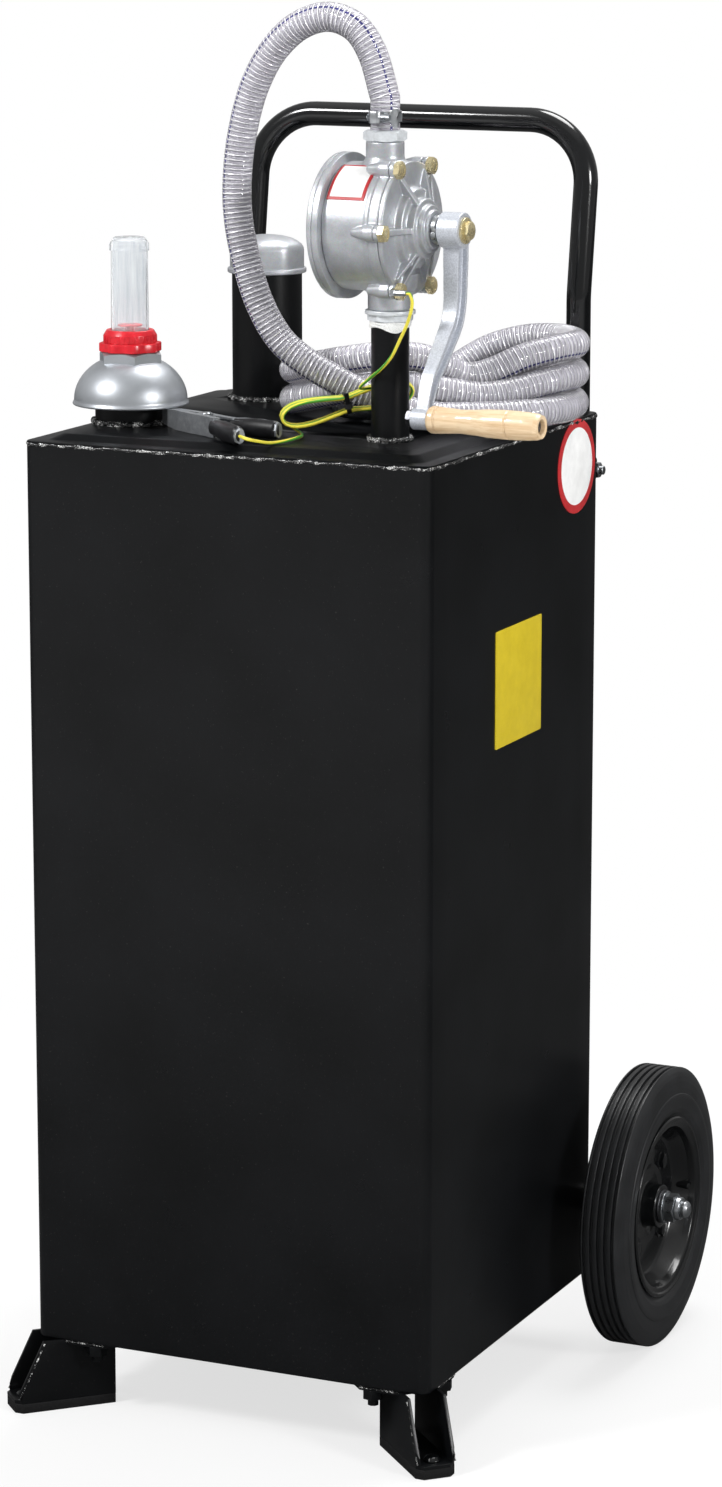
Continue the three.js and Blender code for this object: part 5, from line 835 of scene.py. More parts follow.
for index, (name, (x, y, outer, inner, top, lumpCount)) in enumerate(pipes.items()):
    bm = bmesh.new()
    line = fillet([(inner, 797), (outer, 797, 0), (outer, top, 1.2), (inner, top, 1.0), (inner, 797)], 1, 4)
    lathe(bm, line, 72, shift(x, y))
    addPiece(name.replace("_", "") + "_tube", bm, powderCoat, (name,))
    bm = bmesh.new()
    lathe(bm, [(outer + reach, z) for reach, z in seam["profile"]], 72, shift(x, y))
    addMesh(bm, ringOf(weldLump, lumpCount, outer + seam["reach"], 11.0 * index, seam["sizes"], seam["wander"],
                       5 + index, weldCoat), shift(x, y, seam["height"]))
    addPiece(name.replace("_", "") + "_weld", bm, weldCoat, sharp=60)
print("tank made")

handle = {"radius": 11, "bore": 9, "boreDepth": 60, "span": 163, "back": 394, "levels": (40, 41, 110, 400, 700, 860),
          "kink": 905, "kinkRadius": 90, "top": 1059, "topBack": 416.5, "corner": 57, "sides": 36}
lean = math.atan2(handle["topBack"] - handle["back"], handle["top"] - handle["kink"])
leg = math.hypot(handle["topBack"] - handle["back"], handle["top"] - handle["kink"])
kinkHalf = handle["kinkRadius"] * math.tan(lean / 2)


def leaning(distance):
    return Vector((handle["span"], handle["back"] + distance * math.sin(lean),
                   handle["kink"] + distance * math.cos(lean)))


low, knee = Vector((handle["span"], handle["back"], handle["kink"] - kinkHalf)), leaning(0)
right = [Vector((handle["span"], handle["back"], z)) for z in handle["levels"]]
right += [low * (1 - t) ** 2 + knee * 2 * t * (1 - t) + leaning(kinkHalf) * t * t for t in (i / 8 for i in range(9))]
for step in range(19):
    turn = quarter * step / 18
    station = leaning(leg - handle["corner"] * (1 - math.sin(turn)))
    station.x -= handle["corner"] * (1 - math.cos(turn))
    right.append(station)
left = [Vector((-p.x, p.y, p.z)) for p in reversed(right)]
tube("handle_tube", right + left, handle["radius"], handle["sides"], tubeEnamel, ("handle_frame",), Vector((0, 1, 0)),
     handle["bore"], handle["boreDepth"])

boltSet = {"flats": 13, "head": 5.3, "washer": 8, "thick": 1.6, "nut": 6.5, "over": 10.5, "shank": 4, "face": 14.3,
           "height": 749}
feet = {"turn": 45, "centre": 95, "screw": 146, "pad": 9, "plate": 3, "ground": -65,
        "edges": ((86, -44, 112, -18), (112, -18, 112, 18), (112, 18, 86, 44)), "wallSeam": (17.2, 132, 24, -2, -50)}
sides = ((-1, "left"), (1, "right"))
for side, name in sides:
    bevelledCopy("bracket_" + name, "handle_bracket_" + name, powderCoat, 0.5)
    place = shift(side * handle["span"], handle["back"], boltSet["height"]) @ spin(0 if side > 0 else math.pi) @ toRight
    bm = bmesh.new()
    face, seat = boltSet["face"], boltSet["face"] + boltSet["thick"]
    shank, washer, end = boltSet["shank"], boltSet["washer"], seat + boltSet["over"]
    hexHead(bm, boltSet["flats"], -face, -face - boltSet["head"], place)
    lathe(bm, fillet([(0, -face), (shank, -face), (shank, end - 0.5), (shank - 0.6, end), (0, end)], 0.3, 2), 32, place)
    lathe(bm, fillet([(4.2, face), (washer, face), (washer, seat), (4.2, seat), (4.2, face)], 0.3, 3), 48, place)
    hexHead(bm, boltSet["flats"], seat, seat + boltSet["nut"], place, bothEnds=True)
    addPiece("bolt_" + name, bm, zincSteel, ("handle_bolt_" + name,))
print("handle made")

for side, name in sides:
    bevelledCopy("foot_" + name, "foot_bracket_" + name, powderCoat, 0.45)
    bevelledCopy("pad_" + name, "foot_pad_" + name, padRubber, 0.9)
    turn = -math.radians(feet["turn"] if side > 0 else 180 - feet["turn"])
    place = shift(side * feet["centre"], feet["centre"]) @ spin(turn)
    bm = bmesh.new()
    seat = feet["ground"] + feet["pad"] + feet["plate"]
    lathe(bm, fillet([(0, seat), (7.6, seat), (7.6, seat + 1.4), (5.5, seat + 4.2, 3), (0, seat + 4.9)], 1.2, 5), 40,
          place @ shift(feet["screw"], 0))
    addPiece("foot_screw_" + name, bm, tubeEnamel, ())
    # The weld coat's pale specks on these lines are partly wear and partly painted highlight.
    bm = bmesh.new()  # worn weld line along the slanting walls and the plate's front edge
    aside, near, run, top, fall = feet["wallSeam"]
    for y in (-aside, aside):
        line = [place @ Vector((near + run * t, y, top + fall * t)) for t in (i / 30 for i in range(31))]
        sweep(bm, line, [0.9 + 0.35 * math.sin(i * 1.7) for i in range(31)], 8)
    for x0, y0, x1, y1 in feet["edges"]:
        line = [place @ Vector((x0 + (x1 - x0) * t, y0 + (y1 - y0) * t, -1.2)) for t in (i / 24 for i in range(25))]
        sweep(bm, line, [1.0 + 0.3 * math.sin(i * 1.9) for i in range(25)], 8)
    addPiece("foot_weld_" + name, bm, weldCoat, sharp=80, merge=0)
print("feet made")

wheel = {"centre": 241.5, "back": 394, "height": 65, "pitch": 6.8, "steps": 112, "bore": 8.3, "spacer": (174.3, 215.7),
         "side": [(78.3, 18, 0), (86, 18, 1.5), (88, 19.6, 1), (92, 21.3, 2), (100, 22.3, 1), (101.5, 22.5, 0.5),
                  (103.5, 22.5, 0.8), (105.5, 22.2, 0.5), (106.2, 21.5, 0.5), (111, 21.6, 2), (117, 21.1, 4),
                  (122, 19.9, 3), (125.6, 18.6, 2.5), (130, 16.4, 1.2)],
         "groove": [(130, 1.5, 0.4), (127.2, 1.0, 0.3), (126.6, 0, 0.3), (127.2, -1.0, 0.3), (130, -1.5, 0.4)],
         "rim": [(12.3, -25.5), (20, -25.5, 1), (20, -6, 1.5), (66, -6, 4), (74.5, -20.8, 2), (84.5, -20.8, 1),
                 (84.5, -18.3, 0.8), (78, -18.3, 1), (78, 18.3, 1), (84.5, 18.3, 0.8), (84.5, 19.8, 0.8), (83, 21, 1.0),
                 (81, 21, 1.2), (79.5, 19.6, 1), (75, 18.6, 2), (73.4, 12, 3), (66, -2, 5), (56, -2.2, 3),
                 (52, -0.6, 3), (38, -0.6, 3), (33, -2, 3), (20, -2, 3), (20, 13.5, 1.2), (12.3, 13.5), (12.3, -25.5)],
         "bush": [(8.3, -25.5), (12, -25.5, 0.3), (12, 13.8, 0.2), (15.5, 13.8, 0.3), (15.5, 15.5, 0.5),
                  (13.6, 15.5, 0.2), (12.8, 14.9, 0.2), (8.3, 14.9), (8.3, -25.5)],
         "valve": [(0, -8), (4.2, -8), (3.2, 0), (3.2, 7), (2.6, 9), (0, 9)],
         "nut": {"from": 15.8, "washer": 15, "thick": 2.6, "flats": 24, "high": 10},
         "axle": [(8, 0), (8, 275), (8, 278.6, 1.2), (6.4, 281.4, 2), (3.4, 282.8, 1.5), (0, 283)]}


def rimBolt(bm):
    hexHead(bm, 13, 0, 5.2, domed=True)
    lathe(bm, [(0, -1), (9, -1), (9, 0.9), (8.2, 1.3), (0, 1.3)], 32)


for side, name in sides:
    place = shift(0, wheel["back"], wheel["height"]) @ spin(0 if side > 0 else math.pi) @ toRight  # z points outward
    out, body, bore = place @ shift(0, 0, wheel["centre"]), "wheel_" + name, wheel["bore"]
    tread = [(r, groove * wheel["pitch"] + z, s) for groove in (2, 1, 0, -1, -2) for r, z, s in wheel["groove"]]
    line = wheel["side"] + tread + [(r, -z, s) for r, z, s in reversed(wheel["side"])] + [(78.3, 18, 0)]
    bm = bmesh.new()
    lathe(bm, fillet(line, 0.5, 3), wheel["steps"], out)
    addPiece("tyre_ring_" + name, bm, tyreRubber, ("tyre_" + name,), body=body, sharp=40)
    bm = bmesh.new()
    lathe(bm, fillet(wheel["rim"], 1, 4), 96, out)
    addMesh(bm, ringOf(rimBolt, 4, 47, -45, (1, 1), 0, 3, rimPaint), out @ shift(0, 0, -0.9))
    valve = out @ shift(0, 70.5, 6) @ spin(math.radians(14), "X")
    lathe(bm, fillet(wheel["valve"], 0.5, 3), 24, valve)
    addPiece("rim_disc_" + name, bm, rimPaint, ("rim_" + name,), body=body, sharp=40)
    bm = bmesh.new()
    lathe(bm, fillet(wheel["bush"], 0.3, 3), 64, out)
    addPiece("bush_" + name, bm, darkSteel, ("wheel_bush_" + name,), body=body)
    bm = bmesh.new()
    nut, start = wheel["nut"], wheel["centre"] + wheel["nut"]["from"]
    seat, wide = start + nut["thick"], nut["washer"]
    lathe(bm, fillet([(bore, start), (wide, start), (wide, seat), (bore, seat), (bore, start)], 0.4, 3), 64, place)
    hexHead(bm, nut["flats"], seat, seat + nut["high"], place, bothEnds=True)
    lathe(bm, fillet([(bore, start + 12), (11.2, start + 12.6, 0.3), (11.2, start + 14, 0.3), (10.4, start + 17.6, 1.2),
                      (bore, start + 17.6), (bore, start + 12)], 0.4, 3), 48, place)
    addPiece("axle_nut_set_" + name, bm, zincSteel, ("axle_nut_" + name,))
    bm = bmesh.new()
    low, high = wheel["spacer"]
    lathe(bm, fillet([(bore, low), (13, low), (13, high), (bore, high), (bore, low)], 0.6, 3), 48, place)
    addPiece("spacer_" + name, bm, tubeEnamel, ("axle_spacer_" + name,))
bm = bmesh.new()
half = wheel["axle"]
line = fillet([(0, -half[-1][1])] + [(p[0], -p[1], *p[2:]) for p in reversed(half[:-1])] + half[1:], 0.4, 4)
lathe(bm, line, 48, shift(0, wheel["back"], wheel["height"]) @ toRight)
addPiece("axle_bar", bm, zincSteel, ("axle",))
print("wheels made")


def castPiece(name, bm, voxel, finish, stands, place, body="caddy"):  # shells grown into one casting
    raw = linkNew("raw", meshFrom(bm, "raw"))
    skin = raw.modifiers.new("skin", "REMESH")
    skin.mode, skin.voxel_size = "VOXEL", voxel
    soft = raw.modifiers.new("soft", "SMOOTH")
    soft.factor, soft.iterations = 0.5, 1
    grown = settled(raw)
    bpy.data.objects.remove(raw)
    bm = bmesh.new()
    addMesh(bm, grown)
    return addPiece(name, bm, finish, stands, body, place, 180, 0)


pump = {"boltCircle": 58.1, "bolts": 6, "topForward": -5, "voxel": 0.9,
        "barrel": [(0, -37), (54, -37), (54, -31, 3), (54, 2, 2), (54.6, 4, 1), (54.6, 6.5, 1), (56, 8, 1), (56, 16.5),
                   (0, 16.5)],
        "lug": [(0, -7), (3.4, -6), (7, 8), (7, 16.5), (0, 16.5)],
        "outlet": [(0, 38), (21, 38), (20, 52, 6), (16.2, 58, 6), (16.2, 71.5, 0.8), (0, 71.5)],
        "inlet": [(0, 38), (25, 38), (23, 50, 8), (19, 56, 6), (19, 69, 0.8), (0, 69)],
        "back": [(0, -48.6), (12.8, -48.6, 1.2), (14, -45.5, 0.8), (30, -45.2, 2), (33, -46.2, 1.5), (36, -45.3, 1.5),
                 (54, -45.5, 1), (55.2, -47.7, 0.8), (60.3, -47.7, 1), (61.5, -46.5, 1), (61.5, -43.6, 0.3),
                 (60.3, -42.8, 0.4), (61.5, -42, 0.3), (61.5, -37.2, 0.6), (0, -37.2)]}
toPorts = spin(-quarter, "Y")  # pump frame seen from the turned local frame
bm = bmesh.new()
lathe(bm, fillet(pump["barrel"], 0.6, 4), 128)
addMesh(bm, ringOf(lambda b: lathe(b, pump["lug"], 32), pump["bolts"], pump["boltCircle"]))
lathe(bm, fillet(pump["outlet"], 1, 6), 64, toPorts @ shift(pump["topForward"], 0))
lathe(bm, fillet(pump["inlet"], 1, 6), 64, toPorts @ spin(math.pi, "X"))
castPiece("pump_casting", bm, pump["voxel"], silverPaint, ("pump_body",), alongPump)
bm = bmesh.new()
lathe(bm, fillet(pump["back"], 0.5, 4), 128)
addPiece("pump_back_plate", bm, silverPaint, ("pump_rear_cover",), place=alongPump)

cover = {"singles": (0, 120, 180), "pairs": (60, 240, 300), "spread": 7, "wide": 5, "narrow": 3.6, "voxel": 0.62,
         "rib": [(23, 19), (51.6, 19), (51.6, 23.2), (23, 34.6)],
         "boss": [(0, 16.8), (7, 16.8), (7, 21.3, 0.8), (0, 21.3)],
         "disc": [(0, 16.8), (56, 16.8), (56, 21.3, 1), (35, 21.3, 3), (33, 28, 2), (25.8, 28, 1.5), (25.2, 35, 1.2),
                  (20.4, 35, 1), (20, 40, 1), (16, 40, 0.8), (16, 43, 0.8), (8.6, 43), (8.6, 30), (0, 30)]}
ribTurn = Matrix(((0, 0, 1, 0), (1, 0, 0, 0), (0, 1, 0, 0), (0, 0, 0, 1)))
bm = bmesh.new()
lathe(bm, fillet(cover["disc"], 0.6, 4), 128)
addMesh(bm, ringOf(lambda b: lathe(b, fillet(cover["boss"], 0.8, 3), 32), pump["bolts"], pump["boltCircle"]))
ribs = [(a, cover["wide"]) for a in cover["singles"]]
ribs += [(a + s, cover["narrow"]) for a in cover["pairs"] for s in (-cover["spread"], cover["spread"])]
for turn, thick in ribs:
    prism(bm, cover["rib"], -thick / 2, thick / 2, 0, spin(math.radians(turn)) @ ribTurn)
castPiece("pump_cover_casting", bm, cover["voxel"], silverPaint, ("pump_front_cover",), alongPump)

bm = bmesh.new()
for index in range(pump["bolts"]):
    seat = 22.5 if index == 4 else 21.3  # the earth wire's lug lies under the fifth
    place = spin(math.radians(60 * index)) @ shift(0, pump["boltCircle"]) @ spin(index * 0.7)
    hexHead(bm, 13, seat, seat + 5.3, place)
    lathe(bm, fillet([(0, -4), (3.9, -4, 0.8), (3.9, seat + 0.5), (0, seat + 0.5)], 0.5, 3), 24, place)
    lathe(bm, fillet([(2.6, seat + 5.2), (4.6, seat + 5.2, 0.3), (4.6, seat + 5.55, 0.2), (4.2, seat + 5.55, 0.2),
                      (4.2, seat + 5.2)], 0.1, 2), 24, place)
addPiece("cover_bolts", bm, yellowZinc, tuple(f"cover_bolt_{i}" for i in range(1, 7)), place=alongPump)
bevelledCopy("earth_lug", "ring_lug", zincSteel, 0.25)
bevelledCopy("gland_nut", "packing_nut", zincSteel, 0.35)

# Crank: a swan-necked cast arm of I section between two bosses, with its bolt, spindle and turned grip.
arm = {"back": -53, "down": -152, "face": 65, "thick": (14.5, 11), "wide": (10, 19.5), "flange": 2.7, "groove": 4.6,
       "voxel": 0.5, "line": [(-0.142, 0.053), (-0.142, 0.132), (-0.125, 0.263), (-0.102, 0.395), (-0.011, 0.5),
                              (0.264, 0.612), (0.528, 0.707), (0.792, 0.803), (0.934, 0.908), (1, 0.987)],
       "widths": [1, 1, 0.9, 0.81, 0.67, 0.53, 0.42, 0.27, 0.1, 0],
       "hub": [(8.6, 50), (15, 50), (15, 70), (8.6, 70), (8.6, 50)],
       "eye": [(5.3, 50.3), (9.3, 50.3), (9.3, 65.5), (5.3, 65.5), (5.3, 50.3)],
       "pin": [(0, 45), (5, 45), (5, 161), (5.9, 161), (5.9, 164.5, 0.8), (2.6, 164.5, 0.2), (2.4, 162.4, 0.2),
               (0, 162.2)]}
line = smoothRoute([Vector((0, arm["back"] * b, arm["down"] * d)) for b, d in arm["line"]], 44)
bm, rings = bmesh.new(), []
for i, centre in enumerate(line):
    part = i / (len(line) - 1)
    ahead = (line[min(i + 1, len(line) - 1)] - line[max(i - 1, 0)]).normalized()
    across = Vector((0, -ahead.z, ahead.y))
    spot = part * (len(arm["widths"]) - 1)
    low = min(int(spot), len(arm["widths"]) - 2)
    share = arm["widths"][low] + (arm["widths"][low + 1] - arm["widths"][low]) * (spot - low)
    half = (arm["wide"][0] + (arm["wide"][1] - arm["wide"][0]) * share) / 2
    back, front = arm["face"] - (arm["thick"][0] + (arm["thick"][1] - arm["thick"][0]) * part), arm["face"]
    rib, cut = half - arm["flange"], arm["groove"]
    outline = [(-half, back), (-rib, back), (-rib, back + cut), (rib, back + cut), (rib, back), (half, back),
               (half, front), (rib, front), (rib, front - cut), (-rib, front - cut), (-rib, front), (-half, front)]
    rings.append([Vector((f, centre.y, centre.z)) + across * a for a, f in outline])
loft(bm, rings)
gripSpot = shift(0, arm["back"], arm["down"]) @ toRight
lathe(bm, fillet(arm["hub"], 0.8, 3), 64, toRight)
lathe(bm, fillet(arm["eye"], 0.6, 3), 48, gripSpot)
castPiece("crank_casting", bm, arm["voxel"], castAluminium, ("crank_arm",), pumpPlace, "crank")
bm = bmesh.new()
lathe(bm, fillet([(0, 70), (11, 70), (11, 72), (0, 72)], 0.4, 3), 48, toRight)
hexHead(bm, 14, 72, 76.5, toRight @ spin(0.3))
lathe(bm, fillet([(0, 55), (4, 55, 0.8), (4, 72), (0, 72)], 0.3, 2), 24, toRight)
addPiece("crank_fixing", bm, yellowZinc, ("crank_bolt",), body="crank", place=pumpPlace)
bm = bmesh.new()
hexHead(bm, 13, 45, 50, gripSpot, bothEnds=True)
lathe(bm, fillet(arm["pin"], 0.3, 3), 40, gripSpot)
addPiece("grip_pin", bm, darkSteel, ("grip_spindle",), body="crank", place=pumpPlace)

grip = {"back": 66, "front": 168, "radius": 12.2, "steps": 240, "bore": 5.4,
        "shape": [(0, 0.87), (0.02, 0.95), (0.055, 0.95), (0.085, 0.93), (0.155, 0.885), (0.275, 0.82), (0.39, 0.87),
                  (0.53, 0.965), (0.66, 0.998), (0.76, 1.0), (0.87, 0.965), (0.96, 0.9), (1, 0.8)],
        "grooves": [(0.062, 0.006, 0.05), (0.076, 0.006, 0.045), (0.708, 0.006, 0.04), (0.723, 0.006, 0.045)]}


def gripRadius(part):
    for (a, ra), (b, rb) in zip(grip["shape"], grip["shape"][1:]):
        if a <= part <= b:
            radius = ra + (rb - ra) * ease((part - a) / (b - a)) * 0.5 + (rb - ra) * (part - a) / (b - a) * 0.5
            break
    for middle, width, depth in grip["grooves"]:
        radius -= depth * max(0.0, 1 - ((part - middle) / width) ** 2)
    return radius * grip["radius"]


back, front, bore, steps = grip["back"], grip["front"], grip["bore"], grip["steps"]
outer = [(gripRadius(i / steps), back + (front - back) * i / steps) for i in range(steps + 1)]
end = fillet([(outer[-1][0], front), (6.5, front, 0.8), (6.5, 157.5, 0.3), (bore, 157.5), (bore, back)], 0.3, 3)[1:]
bm = bmesh.new()
lathe(bm, [(bore, back)] + outer + end, 64, gripSpot)
addPiece("grip_wood", bm, lacqueredWood, ("crank_grip",), body="grip", place=pumpPlace)

# Fittings: hexagon outlet, union under the pump with its seal tape, and worm clamp on the hose.
top = shift(pump["topForward"], 0)
bm = bmesh.new()
hexHead(bm, 32, 71.6, 80.9, top, bothEnds=True)
lathe(bm, fillet([(6.5, 57), (8.7, 57), (8.7, 81), (9.2, 81.2), (9.2, 103), (6.5, 103), (6.5, 57)], 0.3, 3), 40, top)
addPiece("outlet_hexagon", bm, paleCasting, ("outlet_fitting",), place=pumpPlace)
under = shift(pumpFrame["x"], pumpFrame["y"]) @ spin(0.2)
bm = bmesh.new()
hexHead(bm, 36.4, 910.6, 917, under, bothEnds=True, sides=8)
lathe(bm, fillet([(11.2, 911), (16, 911), (16, 916.4), (21.4, 916.4, 0.8), (21.4, 920, 0.8), (11.2, 920), (11.2, 911)],
                 0.4, 3), 64, under)
addPiece("union_nut", bm, paleCasting, ("riser_union",))
tape = [(16.3, 905.2), (16.9, 904.9), (17.4, 905.6), (17.7, 906.6), (17.5, 907.8), (17.9, 909), (17.7, 910.4),
        (16.3, 910.4)]
rings = []
for row, (radius, z) in enumerate(tape):  # the lower edge hangs loose in one place
    ring = []
    for a in turns(72):
        loose = 0.9 * math.sin(3 * a + 1) - 2.6 * max(0, math.cos(a + 0.9)) ** 8 if row < 3 else 0.3 * math.sin(5 * a)
        spot = Vector(((radius + 0.35 * math.sin(7 * a + row)) * math.cos(a),
                       (radius + 0.35 * math.sin(5 * a + 2 * row)) * math.sin(a), z + loose))
        ring.append(Vector((pumpFrame["x"], pumpFrame["y"], 0)) + spot)
    rings.append(ring)
bm = bmesh.new()
loft(bm, rings, looped=True)
addPiece("seal_tape", bm, sealTape)

band = {"inner": 12.8, "low": 87.8, "high": 96.8, "centre": 92.3, "teeth": 34, "screw": -18,
        "tooth": [(-0.6, 0), (0.6, 0), (0.6, 0.5), (-0.6, 0.5)],
        "housing": [(-5.5, -13.2), (-5.5, -20), (-3, -22), (3, -22), (5.5, -20), (5.5, -13.2)],
        "wing": [(13.2, -3.2), (15, -4), (17.5, -8.6), (21.6, -8.2), (22, -3), (20.4, 0), (22, 3), (21.6, 8.2),
                 (17.5, 8.6), (15, 4), (13.2, 3.2)]}
inner, low, high, centre = band["inner"], band["low"], band["high"], band["centre"]
bm = bmesh.new()
lathe(bm, fillet([(inner, low), (13.7, low, 0.2), (14.3, low + 0.5, 0.3), (13.9, low + 1, 0.3), (13.9, high - 1, 0.3),
                  (14.3, high - 0.5, 0.3), (13.7, high, 0.2), (inner, high), (inner, low)], 0.2, 2), 64, top)
addMesh(bm, ringOf(lambda b: prism(b, fillet(band["tooth"], 0.1, 1, True), -2.7, 2.7), band["teeth"], 13.75),
        top @ shift(0, 0, centre))
prism(bm, fillet(band["housing"], 2, 5, True), centre - 5, centre + 5, 0.6, top)
lathe(bm, [(0, -7.6)] + [(3.0 if i % 2 else 2.4, -7 + i * 0.5) for i in range(44)] + [(0, 15)], 24,
      top @ shift(0, band["screw"], centre) @ toRight)
prism(bm, fillet(band["wing"], 2.2, 5, True), -1.1, 1.1, 0.5,
      top @ (shift(0, band["screw"], centre) @ spin(quarter, "X")))
addPiece("worm_clamp", bm, zincSteel, ("hose_clamp",), place=pumpPlace)

# Bare plate round the barrel, where the real pump has its label: white with a red border.
plate = {"radius": 54.3, "thick": 0.5, "from": 108, "to": 152, "near": -35, "far": 0, "border": 2.6}
for name, inset, lift, finish in (
        ("barrel_plate_border", 0, 0, redPlate), ("barrel_plate", plate["border"], 0.15, whitePlate)):
    bm, rings = bmesh.new(), []
    reach = math.degrees(inset / plate["radius"])
    for step in range(25):
        turn = math.radians(plate["from"] + reach + (plate["to"] - plate["from"] - 2 * reach) * step / 24)
        out = Vector((0, math.cos(turn), math.sin(turn)))
        r0, r1 = plate["radius"] - 0.8, plate["radius"] + plate["thick"] + lift
        near, far = plate["near"] + inset, plate["far"] - inset
        rings.append([out * r + Vector((x, 0, 0)) for r, x in ((r0, near), (r1, near), (r1, far), (r0, far))])
    loft(bm, rings)
    addPiece(name, bm, finish, (), place=pumpPlace, sharp=30)
print("pump made")

gauge = {"x": -143.8, "y": 112.3, "tank": 804, "heading": 34.8, "prong": (-417, 32),
         "lip": [(0, 30), (31.8, 30, 0.5), (31.8, 21.6, 0.5), (46, 21.6, 1), (48.4, 20.9, 0.8), (50.2, 21.2, 0.8),
                 (50.9, 22.4, 0.8), (50.2, 23.9, 0.6), (49.5, 24.6, 0.3)],
         "dome": {"radius": 49.5, "shoulder": 25, "rise": 40, "end": 55}}
gaugePlace = shift(gauge["x"], gauge["y"], gauge["tank"]) @ spin(math.radians(gauge["heading"]))
dome = gauge["dome"]
arc = [(dome["radius"] * math.cos(a), dome["shoulder"] + dome["rise"] * math.sin(a))
       for a in (math.radians(dome["end"]) * i / 24 for i in range(25))]
crown = fillet([arc[-2], arc[-1], (27.2, 58, 1.5), (26.6, 58.6, 0.5), (0, 58.6)], 1, 4)[1:]
bm = bmesh.new()
lathe(bm, fillet(gauge["lip"], 0.5, 4)[:-1] + arc[:-1] + crown, 128, gaugePlace)
hexHead(bm, 50.2, 56.5, 67, gaugePlace)
addPiece("gauge_dome", bm, smoothSilver, ("gauge_cap",), sharp=40)
bm = bmesh.new()  # the two prongs of the slotted stem that carry the float inside the tank
for turn in (0, math.pi):
    outline = [polar(8, a).xy for a in (math.radians(16 + 148 * i / 14) for i in range(15))]
    outline += [polar(4.5, a).xy for a in (math.radians(150 - 120 * i / 10) for i in range(11))]
    prism(bm, outline, *gauge["prong"], 0.2, gaugePlace @ spin(turn))
addPiece("gauge_stem", bm, zincSteel, ())

bezel = {"lobe": 0.95, "lobes": 8, "rows": [(17, 67.2, 0), (25.6, 67.2, 1), (26.3, 67.9, 1), (26.3, 74.1, 1),
                                            (26.0, 74.7, 1), (25.3, 75, 1), (17, 75, 0)],
         "collar": [(16.9, 67.5), (23, 67.5), (23, 82, 1.5), (20.5, 86, 1.2), (16.9, 86), (16.9, 67.5)],
         "knurls": 32, "knurl": [(-1.1, -1.2), (1.1, -1.2), (0.7, 0.55), (-0.7, 0.55)],
         "tube": [(0, 163.5), (14.3, 163.5, 1.2), (14.3, 67), (16.5, 67), (16.5, 86, 2), (15.9, 154, 0.6),
                  (17.2, 154.6, 0.5), (17.2, 160, 0.8), (16.6, 161.4, 1.2), (13.5, 166, 1.2), (0, 166)],
         "disc": [(0, -382.6), (0.5, -382.6), (3.8, -374.6, 1), (3.8, 89, 0.4), (10.8, 89, 0.6), (10.8, 90.6, 0.6),
                  (0, 90.6)]}
bm = bmesh.new()
loft(bm, [[gaugePlace @ polar(radius + bezel["lobe"] * depth * math.cos(a * bezel["lobes"]), a, z) for a in turns(160)]
          for radius, z, depth in bezel["rows"]], looped=True)
lathe(bm, fillet(bezel["collar"], 0.5, 4), 96, gaugePlace)
addMesh(bm, ringOf(lambda b: prism(b, fillet(bezel["knurl"], 0.3, 2, True), 75.2, 81.4, 0.2), bezel["knurls"], 22.9),
        gaugePlace)
addPiece("gauge_bezel_nut", bm, redPlastic, ("gauge_bezel",), sharp=40)
bm = bmesh.new()
lathe(bm, fillet(bezel["tube"], 0.4, 4), 96, gaugePlace)
addPiece("sight_glass", bm, clearAcrylic, ("sight_tube",), sharp=50)
bm = bmesh.new()
lathe(bm, fillet(bezel["disc"], 0.3, 4), 48, gaugePlace)
addPiece("indicator_disc", bm, redPlastic, ("level_indicator",), body="indicator")

cap = {"x": -107.4, "y": 311.7, "turn": 0.18, "flats": 8, "apothem": 32.9, "soft": 34.2, "blend": 0.35, "steps": 128,
       "rows": [(1.0, 123), (0.995, 123.8), (1.0, 125), (1.0, 139.5), (0.992, 141.4), (0.972, 143), (0.93, 145),
                (0.86, 146.7), (0.75, 148.6), (0.62, 150.1), (0.46, 151.4), (0.3, 152.3), (0.14, 152.85), (0.03, 153)],
       "skirt": [(32.2, 136.6), (32.2, 119), (34.9, 119, 0.8), (35.7, 119.8, 0.6), (35.7, 122.6, 0.8), (35, 123.5, 0.8),
                 (32.2, 124), (32.2, 136.6)]}
capPlace = shift(cap["x"], cap["y"], gauge["tank"]) @ spin(cap["turn"])


def capRing(z, share, soft=cap["soft"]):  # eight flats whose corners blend into a circle
    ring, flat, blend = [], fullTurn / cap["flats"], cap["blend"]
    for turn in turns(cap["steps"]):
        straight = cap["apothem"] / math.cos(turn % flat - flat / 2)
        radius = -blend * math.log(math.exp(-straight / blend) + math.exp(-soft / blend))
        ring.append(capPlace @ polar(radius * share, turn, z))
    return ring


bm = bmesh.new()
loft(bm, [capRing(122.4, 32.2 / 33.5, 33.5)] + [capRing(height, share) for share, height in cap["rows"]])
lathe(bm, fillet(cap["skirt"], 0.4, 3), 96, capPlace)
addPiece("filler_cap_shell", bm, silverPaint, ("filler_cap",), body="cap", sharp=50)
print("gauge and cap made")

